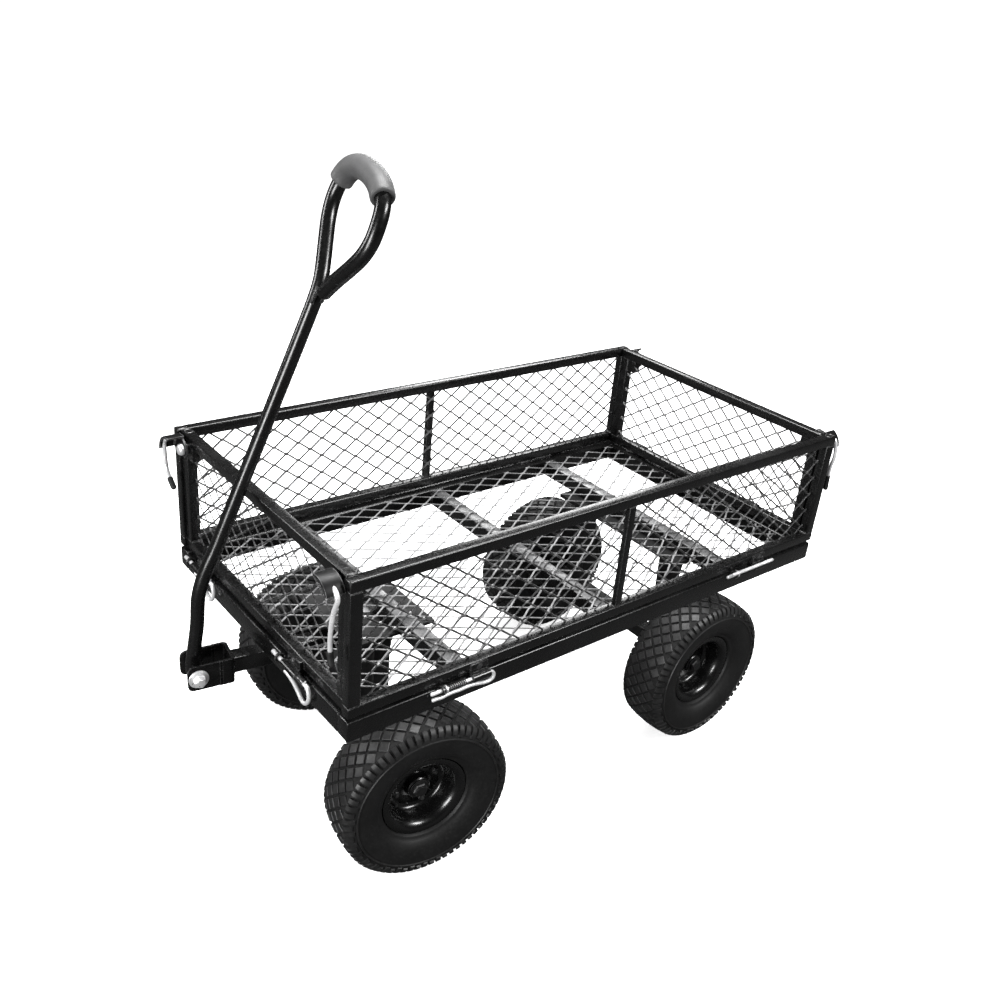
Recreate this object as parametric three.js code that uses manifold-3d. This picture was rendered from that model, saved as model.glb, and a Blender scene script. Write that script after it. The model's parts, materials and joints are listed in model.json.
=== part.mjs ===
// Tow-behind mesh utility cart with four hinged mesh panels, a steered front axle and a loop handle.
// Millimetres, +Z up, +X towards the tow handle, +Y to the cart's left.
// Geometry is laid out with z = 0 on the ground and x = 0 at the bed's centre. The cart group then
// puts z = 0 on the top face of the floor mesh and the bed's centre at x = 8.
import * as THREE from "three";
import { mergeVertices } from "three/addons/utils/BufferGeometryUtils.js";
import Module from "manifold-3d";

const wasm = await Module();
wasm.setup();

// ---- driving dimensions ----
const BED_HALF_L = 920.9 / 2;
const BED_HALF_W = 503.8 / 2;
const BED_CENTRE_X = 8; // in the finished frame
const TUBE = 25; // square tube of the deck, axles and drawbar
const TUBE_HALF = TUBE / 2;
const DECK_Z = [310, 341];
const CROSS_Z0 = 311;
const CROSS_Z1 = CROSS_Z0 + TUBE;
const FLOOR_Z = [CROSS_Z1 + 0.4, CROSS_Z1 + 2.8];
const PANEL_Z0 = 346;
const PANEL_Z1 = 541;
const PANEL_T = 16;
const PANEL_STILE = 18; // width of a panel frame's upright members
const END_RECESS = 4; // end panels sit this far inside the bed's ends
const MESH_GAP = 0.35; // between a mesh infill and its frame
const TYRE_R = 130;
const AXLE_Z = TYRE_R;
const TRACK_HALF = 199.9;
const KINGPIN_X = 280.35;
const REAR_AXLE_X = -263.2;
const STEER_ANGLE = THREE.MathUtils.degToRad(-8.606);
const PIVOT_Z = 342; // height of the hinge pins
const WIRE_R = 3;
const PIN_BORE_R = WIRE_R + 0.5;

// ---- materials ----
const standard = (settings) => new THREE.MeshStandardMaterial(settings);
const BLACK = standard({ color: 0x1b1b1c, roughness: 0.42, metalness: 0.25 });
const ZINC = standard({ color: 0xb8babb, roughness: 0.32, metalness: 0.9 });
const RUBBER = standard({ color: 0x161616, roughness: 0.8, metalness: 0 });
const RIM = standard({ color: 0x121213, roughness: 0.25, metalness: 0.3 });
const GRIP = standard({ color: 0x6b6b6b, roughness: 0.85, metalness: 0 });

// ---- conversion between three.js geometry and manifold solids ----
const WELD = 1e-3; // vertices closer than this become one

function toSolid(geometry) {
  const flat = geometry.index ? geometry.toNonIndexed() : geometry;
  const bare = new THREE.BufferGeometry().setAttribute("position", flat.getAttribute("position"));
  const welded = mergeVertices(bare, WELD);
  const index = welded.index.array;
  const triangles = [];
  for (let i = 0; i < index.length; i += 3) {
    const [a, b, c] = index.slice(i, i + 3);
    if (a !== b && b !== c && a !== c) triangles.push(a, b, c);
  }
  const make = () => new wasm.Manifold(new wasm.Mesh({
    numProp: 3,
    vertProperties: new Float32Array(welded.attributes.position.array),
    triVerts: new Uint32Array(triangles),
  }));
  const made = make();
  if (made.volume() >= 0) return made;
  // inside out: turn every triangle over
  for (let i = 0; i < triangles.length; i += 3) {
    [triangles[i + 1], triangles[i + 2]] = [triangles[i + 2], triangles[i + 1]];
  }
  return make();
}

function toGeometry(solid) {
  const mesh = solid.getMesh();
  const geometry = new THREE.BufferGeometry()
    .setAttribute("position", new THREE.BufferAttribute(mesh.vertProperties, 3))
    .setIndex(new THREE.BufferAttribute(mesh.triVerts, 1))
    .toNonIndexed();
  geometry.computeVertexNormals();
  return geometry;
}

const join = (...solids) => solids.flat().reduce((whole, solid) => whole.add(solid));
const cut = (body, ...tools) => tools.flat().reduce((rest, tool) => rest.subtract(tool), body);

// ---- spans [low, high] and outlines [[first, second], ...] ----
const about = (centre, half) => [centre - half, centre + half];
const shifted = ([low, high], shift) => [low + shift, high + shift];
const signed = (sign, low, high) => (sign > 0 ? [low, high] : [-high, -low]);
const mirrored = (points, sign) => points.map(([y, z]) => [sign * y, z]);

function ring([c1, c2], radius, sides) {
  return Array.from({ length: sides }, (_, i) => {
    const angle = (2 * Math.PI * i) / sides;
    return [c1 + radius * Math.cos(angle), c2 + radius * Math.sin(angle)];
  });
}

// rectangle, with corners rounded in two facets when a radius is given
function rect([a0, a1], [b0, b1], radius = 0) {
  if (!radius) return [[a0, b0], [a1, b0], [a1, b1], [a0, b1]];
  const nip = 0.3 * radius;
  return [
    [a0 + radius, b0], [a1 - radius, b0], [a1 - nip, b0 + nip],
    [a1, b0 + radius], [a1, b1 - radius], [a1 - nip, b1 - nip],
    [a1 - radius, b1], [a0 + radius, b1], [a0 + nip, b1 - nip],
    [a0, b1 - radius], [a0, b0 + radius], [a0 + nip, b0 + nip],
  ];
}

const vectors = (points) => points.map(([a, b]) => new THREE.Vector2(a, b));
function shapeOf(points, hole) {
  const shape = new THREE.Shape(vectors(points));
  if (hole) shape.holes.push(new THREE.Path(vectors(hole)));
  return shape;
}

// ---- solid builders ----
// An outline lies in the plane across its axis: x -> (y, z), y -> (z, x), z -> (x, y).
const [X, Y, Z] = [[1, 0, 0], [0, 1, 0], [0, 0, 1]].map((v) => new THREE.Vector3(...v));
const BASIS = {
  x: new THREE.Matrix4().makeBasis(Y, Z, X),
  y: new THREE.Matrix4().makeBasis(Z, X, Y),
  z: new THREE.Matrix4(),
};

function extrude(shape, axis, [from, to], bevel = 0) {
  const geometry = new THREE.ExtrudeGeometry(shape, {
    depth: to - from - 2 * bevel,
    bevelEnabled: bevel > 0,
    bevelThickness: bevel,
    bevelSize: bevel,
    bevelOffset: -bevel,
    bevelSegments: 1,
  });
  geometry.translate(0, 0, from + bevel);
  return toSolid(geometry.applyMatrix4(BASIS[axis]));
}

const prism = (points, axis, span) => extrude(shapeOf(points), axis, span);
const rod = (axis, centre, span, radius, sides) => prism(ring(centre, radius, sides), axis, span);
const box = (xSpan, ySpan, zSpan) => prism(rect(xSpan, ySpan), "z", zSpan);
const bar = (axis, aSpan, bSpan, span) => prism(rect(aSpan, bSpan, 2), axis, span);
const hexNut = (centre, radius, boreR, span) =>
  extrude(shapeOf(ring(centre, radius, 6), ring(centre, boreR, 12)), "y", span);

// closed profile of [radius, position along Y] turned about Y
const lathe = (profile, segments) =>
  toSolid(new THREE.LatheGeometry(vectors([...profile, profile[0]]), segments));

function sweep(points, radius, sides, steps, boreR = 0) {
  const shape = shapeOf(ring([0, 0], radius, sides), boreR && ring([0, 0], boreR, sides));
  const path = points.map((p) => new THREE.Vector3(...p));
  const extrudePath = new THREE.CatmullRomCurve3(path, false, "centripetal");
  return toSolid(new THREE.ExtrudeGeometry(shape, { steps, bevelEnabled: false, extrudePath }));
}

// ---- expanded-metal infill ----
const SHORTEST_SIDE = 0.6; // clipped openings lose corners closer than this
const SMALLEST_OPENING = 130; // mm2; smaller ones are left solid
const REACH = 40; // rows and columns tried on each side of the centre

function clipPolygon(polygon, [u0, u1], [v0, v1]) {
  const insides = [(p) => p[0] - u0, (p) => u1 - p[0], (p) => p[1] - v0, (p) => v1 - p[1]];
  const next = (list, i) => list[(i + 1) % list.length];
  for (const inside of insides) {
    const kept = [];
    polygon.forEach((here, i) => {
      const there = next(polygon, i);
      const depth = inside(here);
      const depthThere = inside(there);
      if (depth >= 0) kept.push(here);
      if ((depth >= 0) !== (depthThere >= 0)) {
        const t = depth / (depth - depthThere);
        kept.push([here[0] + t * (there[0] - here[0]), here[1] + t * (there[1] - here[1])]);
      }
    });
    polygon = kept;
    if (polygon.length < 3) return [];
  }
  return polygon.filter((p, i, list) => {
    const q = next(list, i);
    return Math.hypot(p[0] - q[0], p[1] - q[1]) > SHORTEST_SIDE;
  });
}

// A sheet with staggered rows of diamond openings. pitch and centre are [u, v] pairs,
// strand is the metal width between openings and edge the solid border.
function lattice(axis, span, uSpan, vSpan, { pitch, centre, strand, edge }) {
  const [halfU, halfV] = pitch.map((p) => p / 2);
  const shrink = 1 - strand / (2 * ((halfU * halfV) / Math.hypot(halfU, halfV)));
  const [du, dv] = [halfU * shrink, halfV * shrink];
  const inset = ([low, high]) => [low + edge, high - edge];
  const openings = [];
  for (let row = -REACH; row <= REACH; row++) {
    for (let col = -REACH; col <= REACH; col++) {
      const u = centre[0] + col * pitch[0] + (row & 1 ? halfU : 0);
      const v = centre[1] + row * halfV;
      const diamond = [[u - du, v], [u, v - dv], [u + du, v], [u, v + dv]];
      const opening = clipPolygon(diamond, inset(uSpan), inset(vSpan));
      if (opening.length < 3) continue;
      if (Math.abs(THREE.ShapeUtils.area(vectors(opening))) <= SMALLEST_OPENING) continue;
      openings.push(prism(opening, axis, [span[0] - 1, span[1] + 1]));
    }
  }
  return cut(prism(rect(uSpan, vSpan), axis, span), openings);
}

// ---- groups ----
const root = new THREE.Group();
root.name = "tow_behind_cart";
const cart = new THREE.Group();
cart.position.set(BED_CENTRE_X, 0, -FLOOR_Z[1]);
root.add(cart);
const steer = new THREE.Group(); // turns about the kingpin; its x = 0 is the kingpin's axis
steer.position.set(KINGPIN_X, 0, 0);
steer.rotation.z = STEER_ANGLE;
cart.add(steer);

function part(name, solid, material, parent = cart) {
  const mesh = new THREE.Mesh(toGeometry(solid), material);
  mesh.name = name;
  parent.add(mesh);
  return mesh;
}

const SIDES = [["left", 1], ["right", -1]];
const ENDS = [["front", 1], ["rear", -1]];

// ---- wire pulls of the latch pins ----
// columns: distance from the pin's tip, offset from the pin's axis (positive is up before tilting)
const SIDE_PULL_DOWN = [
  [96, 0], [100, -1.5], [102.5, -6], [101.5, -11], [96, -14], [88, -14], [76, -11.5], [66, -9.8],
  [56, -9.5], [46, -10], [36, -9.4], [26, -9.7], [18, -10.9], [10, -10.2], [4, -10.2],
];
const SIDE_PULL_UP = [
  [96, 0], [100.5, 1.5], [103.2, 6], [101.5, 11], [96, 13.2], [86, 12.2], [76, 10.4], [66, 10.8],
  [54, 9.6], [44, 10.3], [34, 9.4], [26, 9.7], [18, 10.9], [10, 10.2], [5, 10.2],
];
const END_PULL = [
  [91, 0], [95, -1.5], [98, -7], [98.5, -15], [94, -24], [87, -29.5], [79, -28], [69, -21],
  [57, -14.5], [46, -11.5], [36, -10.5],
];

// ---- hinges ----
// Each panel has two hinges, one at every shift along its axis. Spans along the axis are for the
// first. "Out" spans and the pivot are distances from the bed's centre, across the axis.
const SIDE_HINGE = {
  axis: "x", pivot: 259, shifts: [0, -576.5],
  ear: [323.5, 326.5], earR: 7, lugOut: 250, lugZ: [335, 341.6],
  knuckle: [248, 278], leaf: [248, 276], leafOut: [251, 254.4], bore: [240, 284],
  edges: SIDES, places: ["front", "rear"],
  tip: 343, pullDir: -1, spring: [288.3, 317.8], collar: [318.2, 320.6],
  pulls: [{ path: SIDE_PULL_DOWN, tilt: 0 }, { path: SIDE_PULL_UP, tilt: 0.75 }],
};
const END_HINGE = {
  axis: "y", pivot: 467.5, shifts: [0, -285.3],
  ear: [86.5, 89.5], earR: 6.6, lugOut: 458.5, lugZ: [335.6, 341.2],
  knuckle: [99.5, 138.5], leaf: [103, 135], bore: [94, 144],
  leafOut: [BED_HALF_L - END_RECESS - 1, 463.4],
  edges: ENDS, places: ["left", "right"],
  tip: 70, pullDir: 1, spring: [139, 161],
  pulls: [{ path: END_PULL, tilt: 0 }, { path: END_PULL, tilt: 0 }],
};
const LEAF_Z = [342.2, 360];

const pivotCentre = ({ axis, pivot }, sign) =>
  axis === "x" ? [sign * pivot, PIVOT_Z] : [PIVOT_Z, sign * pivot];
const pivotRod = (hinge, sign, span, radius, sides) =>
  rod(hinge.axis, pivotCentre(hinge, sign), span, radius, sides);
function hingeBox({ axis }, sign, along, out, zSpan) {
  const across = signed(sign, ...out);
  return axis === "x" ? box(along, across, zSpan) : box(across, along, zSpan);
}

// lugs on the deck's rim, each ending in a disc round the pin
function deckEars() {
  const ears = [];
  const bores = [];
  for (const hinge of [SIDE_HINGE, END_HINGE]) {
    for (const sign of [1, -1]) {
      for (const shift of hinge.shifts) {
        const along = shifted(hinge.ear, shift);
        ears.push(pivotRod(hinge, sign, along, hinge.earR, 14));
        ears.push(hingeBox(hinge, sign, along, [hinge.lugOut, hinge.pivot], hinge.lugZ));
        bores.push(pivotRod(hinge, sign, [along[0] - 2, along[1] + 2], PIN_BORE_R, 12));
      }
    }
  }
  return { ears, bores };
}

// knuckles on a panel's lower edge, each with the leaf that holds it
function panelHinges(hinge, sign) {
  const leaves = hinge.shifts.flatMap((shift) => [
    pivotRod(hinge, sign, shifted(hinge.knuckle, shift), 6, 14),
    hingeBox(hinge, sign, shifted(hinge.leaf, shift), hinge.leafOut, LEAF_Z),
  ]);
  const bores = hinge.shifts.map((shift) =>
    pivotRod(hinge, sign, shifted(hinge.bore, shift), PIN_BORE_R, 12));
  return { leaves, bores };
}

// ---- deck ----
const CROSS_X = [254, -20.5, -288]; // rear face of each cross tube

function deckFrame() {
  const inner = rect(about(0, BED_HALF_L - TUBE), about(0, BED_HALF_W - TUBE));
  const outer = rect(about(0, BED_HALF_L), about(0, BED_HALF_W), 6);
  const rim = extrude(shapeOf(outer, inner), "z", DECK_Z, 1.5);
  const crossTubes = CROSS_X.map((x) =>
    bar("y", [CROSS_Z0, CROSS_Z1], [x, x + TUBE], about(0, BED_HALF_W - 20)));
  const { ears, bores } = deckEars();
  return cut(join(rim, crossTubes, ears), bores);
}
part("deck_frame", deckFrame(), BLACK);

const floorInset = TUBE + MESH_GAP;
part("deck_mesh", lattice(
  "z", FLOOR_Z, about(0, BED_HALF_L - floorInset), about(0, BED_HALF_W - floorInset),
  { pitch: [208, 128], centre: [96, 0], strand: 7, edge: 4 },
), BLACK);

// ---- panels ----
const FRAME_BEVEL = 1.2;
const PANEL_Z = [PANEL_Z0, PANEL_Z1];
const OPENING_Z = [PANEL_Z0 + PANEL_T, PANEL_Z1 - PANEL_T];
const INFILL_Z = [OPENING_Z[0] + MESH_GAP, OPENING_Z[1] - MESH_GAP];
const INFILL_DEPTH = [3.6, 6]; // from the panel's inner face
const DIAMOND_L = 129;
const DIAMOND_H = 92;
const DIAMOND_Z = 434; // height of the middle row

const SIDE_INNER = BED_HALF_W - PANEL_T;
const RIVET_Z = 355;
const RIVET_X = 262;

function sidePanelFrame(sign) {
  const opening = rect(OPENING_Z, about(0, BED_HALF_L - PANEL_STILE));
  const shape = shapeOf(rect(PANEL_Z, about(0, BED_HALF_L), 2), opening);
  const frame = extrude(shape, "y", signed(sign, SIDE_INNER, BED_HALF_W), FRAME_BEVEL);
  const postY = signed(sign, SIDE_INNER + 6.4, BED_HALF_W - 0.6);
  const post = box([0, 13], postY, [PANEL_Z0 + 8, PANEL_Z1 - 8]);
  const rivets = SIDE_HINGE.shifts.map((shift) =>
    rod("y", [RIVET_Z, RIVET_X + shift], signed(sign, 254, 255.7), 3.6, 10));
  const { leaves, bores } = panelHinges(SIDE_HINGE, sign);
  return cut(join(frame, post, leaves, rivets), bores);
}

function sidePanelMesh(sign) {
  const depth = signed(sign, ...shifted(INFILL_DEPTH, SIDE_INNER));
  const xSpan = about(0, BED_HALF_L - PANEL_STILE - MESH_GAP);
  return lattice("y", depth, INFILL_Z, xSpan, {
    pitch: [DIAMOND_H, DIAMOND_L], centre: [DIAMOND_Z, 6.5], strand: 6, edge: 3,
  });
}

for (const [side, sign] of SIDES) {
  part(`${side}_panel_frame`, sidePanelFrame(sign), BLACK);
  part(`${side}_panel_mesh`, sidePanelMesh(sign), BLACK);
}

const END_HALF_W = SIDE_INNER - 1;
const END_OUTER = BED_HALF_L - END_RECESS;
const END_INNER = END_OUTER - PANEL_T;
const BOLT_Y = 210; // corner lever bolts, through the end panels
const BOLT_Z = 522;
const BOLT_HOLE_R = 4.4;
// left half of the end frame's opening, (y, z), narrowed at its upper corner by a gusset
const END_OPENING = [
  [END_HALF_W - PANEL_STILE, OPENING_Z[0]], [END_HALF_W - PANEL_STILE, 498],
  [END_HALF_W - 34, 506], [END_HALF_W - 38, OPENING_Z[1]],
];
// mesh cleared round the left gusset, (y, z)
const GUSSET_CLEARANCE = [
  [END_HALF_W - 41, 540], [END_HALF_W - 36, 504], [END_HALF_W - 17, 495.4],
  [END_HALF_W + 5, 495.4], [END_HALF_W + 5, 540],
];

function endPanelFrame(sign) {
  const opening = [...END_OPENING, ...mirrored(END_OPENING, -1).reverse()];
  const shape = shapeOf(rect(about(0, END_HALF_W), PANEL_Z, 2), opening);
  const frame = extrude(shape, "x", signed(sign, END_INNER, END_OUTER), FRAME_BEVEL);
  const atBolts = (from, to, radius, sides) => [1, -1].map((sideSign) =>
    rod("x", [sideSign * BOLT_Y, BOLT_Z], signed(sign, from, to), radius, sides));
  const pads = atBolts(END_OUTER - 1, 460.6, 8, 14);
  const boltHoles = atBolts(446, 470, BOLT_HOLE_R, 12);
  const { leaves, bores } = panelHinges(END_HINGE, sign);
  return cut(join(frame, leaves, pads), bores, boltHoles);
}

function endPanelMesh(sign) {
  const depth = signed(sign, ...shifted(INFILL_DEPTH, END_INNER));
  const ySpan = about(0, END_HALF_W - PANEL_STILE - MESH_GAP);
  const sheet = lattice("x", depth, ySpan, INFILL_Z, {
    pitch: [DIAMOND_L, DIAMOND_H], centre: [0, DIAMOND_Z], strand: 6, edge: 3,
  });
  const clear = (sideSign) => prism(mirrored(GUSSET_CLEARANCE, sideSign), "x", about(0, 600));
  return cut(sheet, clear(1), clear(-1));
}

for (const [end, sign] of ENDS) {
  part(`${end}_panel_frame`, endPanelFrame(sign), BLACK);
  part(`${end}_panel_mesh`, endPanelMesh(sign), BLACK);
}

// ---- spring latches on the hinge pins ----
function latchPin(hinge, sign, shift, { path, tilt }) {
  const { axis, pullDir, collar } = hinge;
  const tip = hinge.tip + shift;
  const wire = path.map(([distance, offset]) => {
    const along = tip + pullDir * distance;
    const across = sign * hinge.pivot + sign * offset * Math.sin(tilt);
    const up = PIVOT_Z + offset * Math.cos(tilt);
    return axis === "x" ? [along, across, up] : [across, along, up];
  });
  const pinEnd = tip + pullDir * (path[0][0] + 1);
  const pinSpan = [Math.min(tip, pinEnd), Math.max(tip, pinEnd)];
  const solids = [pivotRod(hinge, sign, pinSpan, WIRE_R, 6), sweep(wire, WIRE_R, 6, 18)];
  if (collar) solids.push(pivotRod(hinge, sign, shifted(collar, shift), 5.6, 10));
  return join(solids);
}

// the spring is a plain sleeve round the pin
function latchSpring(hinge, sign, shift) {
  const centre = pivotCentre(hinge, sign);
  const shape = shapeOf(ring(centre, 5, 8), ring(centre, 3.6, 8));
  return extrude(shape, hinge.axis, shifted(hinge.spring, shift));
}

for (const hinge of [SIDE_HINGE, END_HINGE]) {
  for (const [edge, sign] of hinge.edges) {
    hinge.shifts.forEach((shift, i) => {
      const name = `${edge}_${hinge.places[i]}_latch`;
      part(`${name}_pin`, latchPin(hinge, sign, shift, hinge.pulls[i]), ZINC);
      part(`${name}_spring`, latchSpring(hinge, sign, shift), ZINC);
    });
  }
}

// ---- corner levers: bolt, curved hood with a bent wire lever, rubber tip ----
// x is the wire's distance from the bed's centre; points are (y, z) for the left side
const LEVERS = {
  left_front: {
    x: 474,
    wire: [[234, 531.5], [242, 528], [246, 520], [241.5, 507], [236.6, 494.7], [232.4, 474],
      [230.6, 456.5], [230.8, 441]],
    tip: [[230.8, 440.4], [232.2, 430.5], [236, 420.5]],
  },
  right_front: {
    x: 479,
    wire: [[233, 532], [241, 526], [242.6, 514], [241.5, 498], [239.5, 484], [234.5, 477],
      [229.4, 472.2]],
    tip: [[229, 471.8], [221.5, 465.4], [214, 460]],
  },
  rear: {
    x: 474,
    wire: [[234, 532], [242.4, 528], [246.9, 516], [249, 500], [246.6, 484], [245.8, 464.8]],
    tip: [[245.8, 464.2], [246.2, 450], [247.2, 438]],
  },
};
const HOOD = { y: 217, z: 514, outerR: 28, innerR: 25.2, from: 1.75, to: 0.05, steps: 7 };
const HOOD_X = [461.5, 487];
const PLATE_X = [461.5, 464.6];
// web that closes the hood's inner end, (y, z)
const HOOD_WEB = [
  [207, 530], [212.6, 541], [222, 540.6], [233, 535.6], [240.6, 526.6], [243.6, 515.6],
  [236, 513.6], [212, 512],
];

function hoodBand() {
  const arc = (radius) => Array.from({ length: HOOD.steps + 1 }, (_, i) => {
    const angle = HOOD.from + ((HOOD.to - HOOD.from) * i) / HOOD.steps;
    return [HOOD.y + radius * Math.cos(angle), HOOD.z + radius * Math.sin(angle)];
  });
  return [...arc(HOOD.outerR), ...arc(HOOD.innerR).reverse()];
}

function cornerLever(side, sideSign, end, endSign) {
  const name = `${side}_${end}_lever`;
  const lever = LEVERS[`${side}_${end}`] ?? LEVERS.rear;
  const xSpan = (from, to) => signed(endSign, from, to);
  const boltCentre = [sideSign * BOLT_Y, BOLT_Z];
  const place = (points) => points.map(([y, z]) => [endSign * lever.x, sideSign * y, z]);

  const shank = rod("x", boltCentre, xSpan(448, 466), 4, 10);
  part(`${name}_bolt`, join(shank, rod("x", boltCentre, xSpan(465.4, 472), 8.6, 12)), ZINC);

  const hood = prism(mirrored(hoodBand(), sideSign), "x", xSpan(...HOOD_X));
  const plate = rod("x", boltCentre, xSpan(...PLATE_X), 12, 12);
  const web = prism(mirrored(HOOD_WEB, sideSign), "x", xSpan(...PLATE_X));
  const boltHole = rod("x", boltCentre, xSpan(455, 475), BOLT_HOLE_R, 12);
  const wire = sweep(place(lever.wire), 3.1, 8, 12);
  part(name, cut(join(hood, plate, web, wire), boltHole), BLACK);
  part(`${name}_tip`, sweep(place(lever.tip), 4.4, 8, 3), RUBBER);
}

for (const [end, endSign] of ENDS) {
  for (const [side, sideSign] of SIDES) cornerLever(side, sideSign, end, endSign);
}

// ---- wheels ----
const FLANGE_R = 64.8;
// columns: radius, distance from the wheel's mid-plane; one half of the tyre
const TYRE_HALF = [
  [53, -22], [66, -22.2], [70, -29], [88, -40], [108, -42.5], [124, -37], [TYRE_R, -20],
];
const TYRE_PROFILE = [...TYRE_HALF, ...TYRE_HALF.map(([r, w]) => [r, -w]).reverse()];
// columns: radius, distance outboard; hub, dished web and a barrel with two flanges
const RIM_PROFILE = [
  [8.5, -30], [17, -30], [17, -5], [46.5, -9], [46.5, -21.5], [51, -25.8],
  [FLANGE_R, -25.8], [FLANGE_R, -22.8], [51.6, -22.4], [51.6, 22.4], [FLANGE_R, 22.8],
  [FLANGE_R, 25.8], [51, 25.8], [46.5, 21.5], [46.5, -4.5], [17, 1], [17, 6], [8.5, 6],
];

function wheel(name, sign, parent, x) {
  const rimProfile = RIM_PROFILE.map(([r, w]) => [r, w * sign]);
  const meshes = [
    part(`${name}_tyre`, lathe(TYRE_PROFILE, 28), RUBBER, parent),
    part(`${name}_rim`, lathe(rimProfile, 24), RIM, parent),
    part(`${name}_axle_nut`, hexNut([0, 0], 12, 8.4, signed(sign, 6.4, 14.4)), ZINC, parent),
  ];
  for (const mesh of meshes) mesh.position.set(x, sign * TRACK_HALF, AXLE_Z);
}

for (const [side, sign] of SIDES) {
  wheel(`front_${side}`, sign, steer, 0);
  wheel(`rear_${side}`, sign, cart, REAR_AXLE_X);
}

// ---- axles ----
// square beam with a shouldered stub at each end
function axleBeam(x) {
  const stubs = [1, -1].flatMap((sign) => [
    rod("y", [AXLE_Z, x], signed(sign, 140, 216), 8, 14),
    rod("y", [AXLE_Z, x], signed(sign, 140, 169), 14, 14),
  ]);
  const beam = bar("y", about(AXLE_Z, TUBE_HALF), about(x, TUBE_HALF), about(0, 150));
  return join(beam, stubs);
}

// upright plate between the rear axle and its top plate; columns: z, x from the axle
const REAR_LEG = [[142.2, -14], [142.2, 14], [304, 20], [304, -45], [290, -45]];

function rearAxle() {
  const outline = REAR_LEG.map(([z, x]) => [z, REAR_AXLE_X + x]);
  const legs = [110, -110].map((y) => prism(outline, "y", about(y, 3)));
  const topPlate = box([REAR_AXLE_X - 50, REAR_AXLE_X + 25], about(0, 150), [303.5, 310.6]);
  return join(axleBeam(REAR_AXLE_X), legs, topPlate);
}
part("front_axle", axleBeam(0), BLACK, steer);
part("rear_axle", rearAxle(), BLACK);

// ---- turntable ----
const KINGPIN = [KINGPIN_X, 0];
const KINGPIN_BORE_R = 8.5;

part("turntable_upper", cut(
  box(about(KINGPIN_X, 70), about(0, 80), [304.7, 309.6]),
  rod("z", KINGPIN, [300, 320], KINGPIN_BORE_R, 16),
  rod("z", KINGPIN, [306.8, 320], 14.5, 18), // recess for the bolt's head
), BLACK);

function turntableLower() {
  const disc = rod("z", [0, 0], [297.7, 303.7], 66, 28);
  const column = cut(
    box(about(0, 25), about(0, 25), [142.8, 300]),
    box(about(0, 21), about(0, 21), [130, 297.4]),
  );
  const ribX = about(0, 12.4);
  const ribs = [62, -62].map((y) => box(ribX, about(y, 3), [143, 299]));
  const crossRib = box(ribX, about(0, 62), [282, 299]);
  const bore = rod("z", [0, 0], [294, 310], KINGPIN_BORE_R, 16);
  const nutSpace = rod("z", [0, 0], [270, 297.2], 15.5, 14);
  return cut(join(disc, column, ribs, crossRib), bore, nutSpace);
}
part("turntable_lower", turntableLower(), BLACK, steer);

part("kingpin_bolt", join(
  rod("z", KINGPIN, [307.2, 309.9], 14, 18), // head
  rod("z", KINGPIN, [284, 307.4], 8, 14),
  rod("z", KINGPIN, [284, 296.4], 13, 6), // nut
), ZINC);

// ---- drawbar: square tube with a U bracket at its front ----
const HITCH_X = 256; // hitch bolt, from the kingpin
const HITCH_Z = 268;
const HITCH = [HITCH_Z, HITCH_X];
const HITCH_BORE_R = 5.4;
const hitchBore = rod("y", HITCH, about(0, 30), HITCH_BORE_R, 14);
// bracket cheek, (z, x)
const CHEEK = [
  [248, 205], [288, 205], [288, 262], [284, 268], [276, 271], [260, 271], [252, 268], [248, 262],
];

part("drawbar", cut(join(
  bar("x", about(0, TUBE_HALF), [255, 280], [25.4, 209]),
  [21, -21].map((y) => prism(CHEEK, "y", about(y, 2))),
  box([205, 209], about(0, 23), [248, 288]),
), hitchBore), BLACK, steer);

// ---- handle: a leaning leg that ends in a closed loop ----
const HANDLE_R = 9.5;
const HANDLE_LEAN = Math.tan(THREE.MathUtils.degToRad(4)); // sideways, towards +Y
const leanY = (z) => (z - HITCH_Z) * HANDLE_LEAN;

// straight upper leg: where it starts, which way it runs, and the loop's sideways direction
const LEG_START = new THREE.Vector3(222.6, leanY(462.5), 462.5);
const LEG_DIR = new THREE.Vector3(-0.35322, 0.06526, 0.93326).normalize();
const LOOP_DIR = new THREE.Vector3(0.0231, 0.99787, -0.061035).normalize();
const onHandle = ([along, sideways]) =>
  LEG_START.clone().addScaledVector(LEG_DIR, along).addScaledVector(LOOP_DIR, sideways).toArray();

// bent lower leg, columns: x, z
const LOWER_LEG = [[256, 283], [254, 315], [250.2, 345], [246.6, 395], [236.5, 430]];
const UPPER_LEG = [0, 60, 200, 340]; // stations along the straight leg
// columns: distance along the leg, distance sideways
const LOOP = [
  [340, 0], [362, -1], [383.5, -6], [403.9, -18.6], [425.1, -33.7], [446.6, -48.5],
  [462.6, -55.8], [478, -58.5], [495, -56], [505, -51], [514.8, -41], [521.5, -23.7],
  [524, 1], [521.5, 28.6], [515.5, 51], [507, 67], [495.6, 76], [478.5, 81.1],
  [459.1, 81.8], [440.3, 74.8], [418.1, 56.7], [396.9, 36], [380.2, 21.5], [368, 12.5],
];
// tab at the leg's foot, (z, x)
const TAB = [
  [256, 247], [262, 244.6], [286, 244.6], [296, 249], [296, 261], [286, 267.4], [262, 267.4],
  [256, 265],
];

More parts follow.
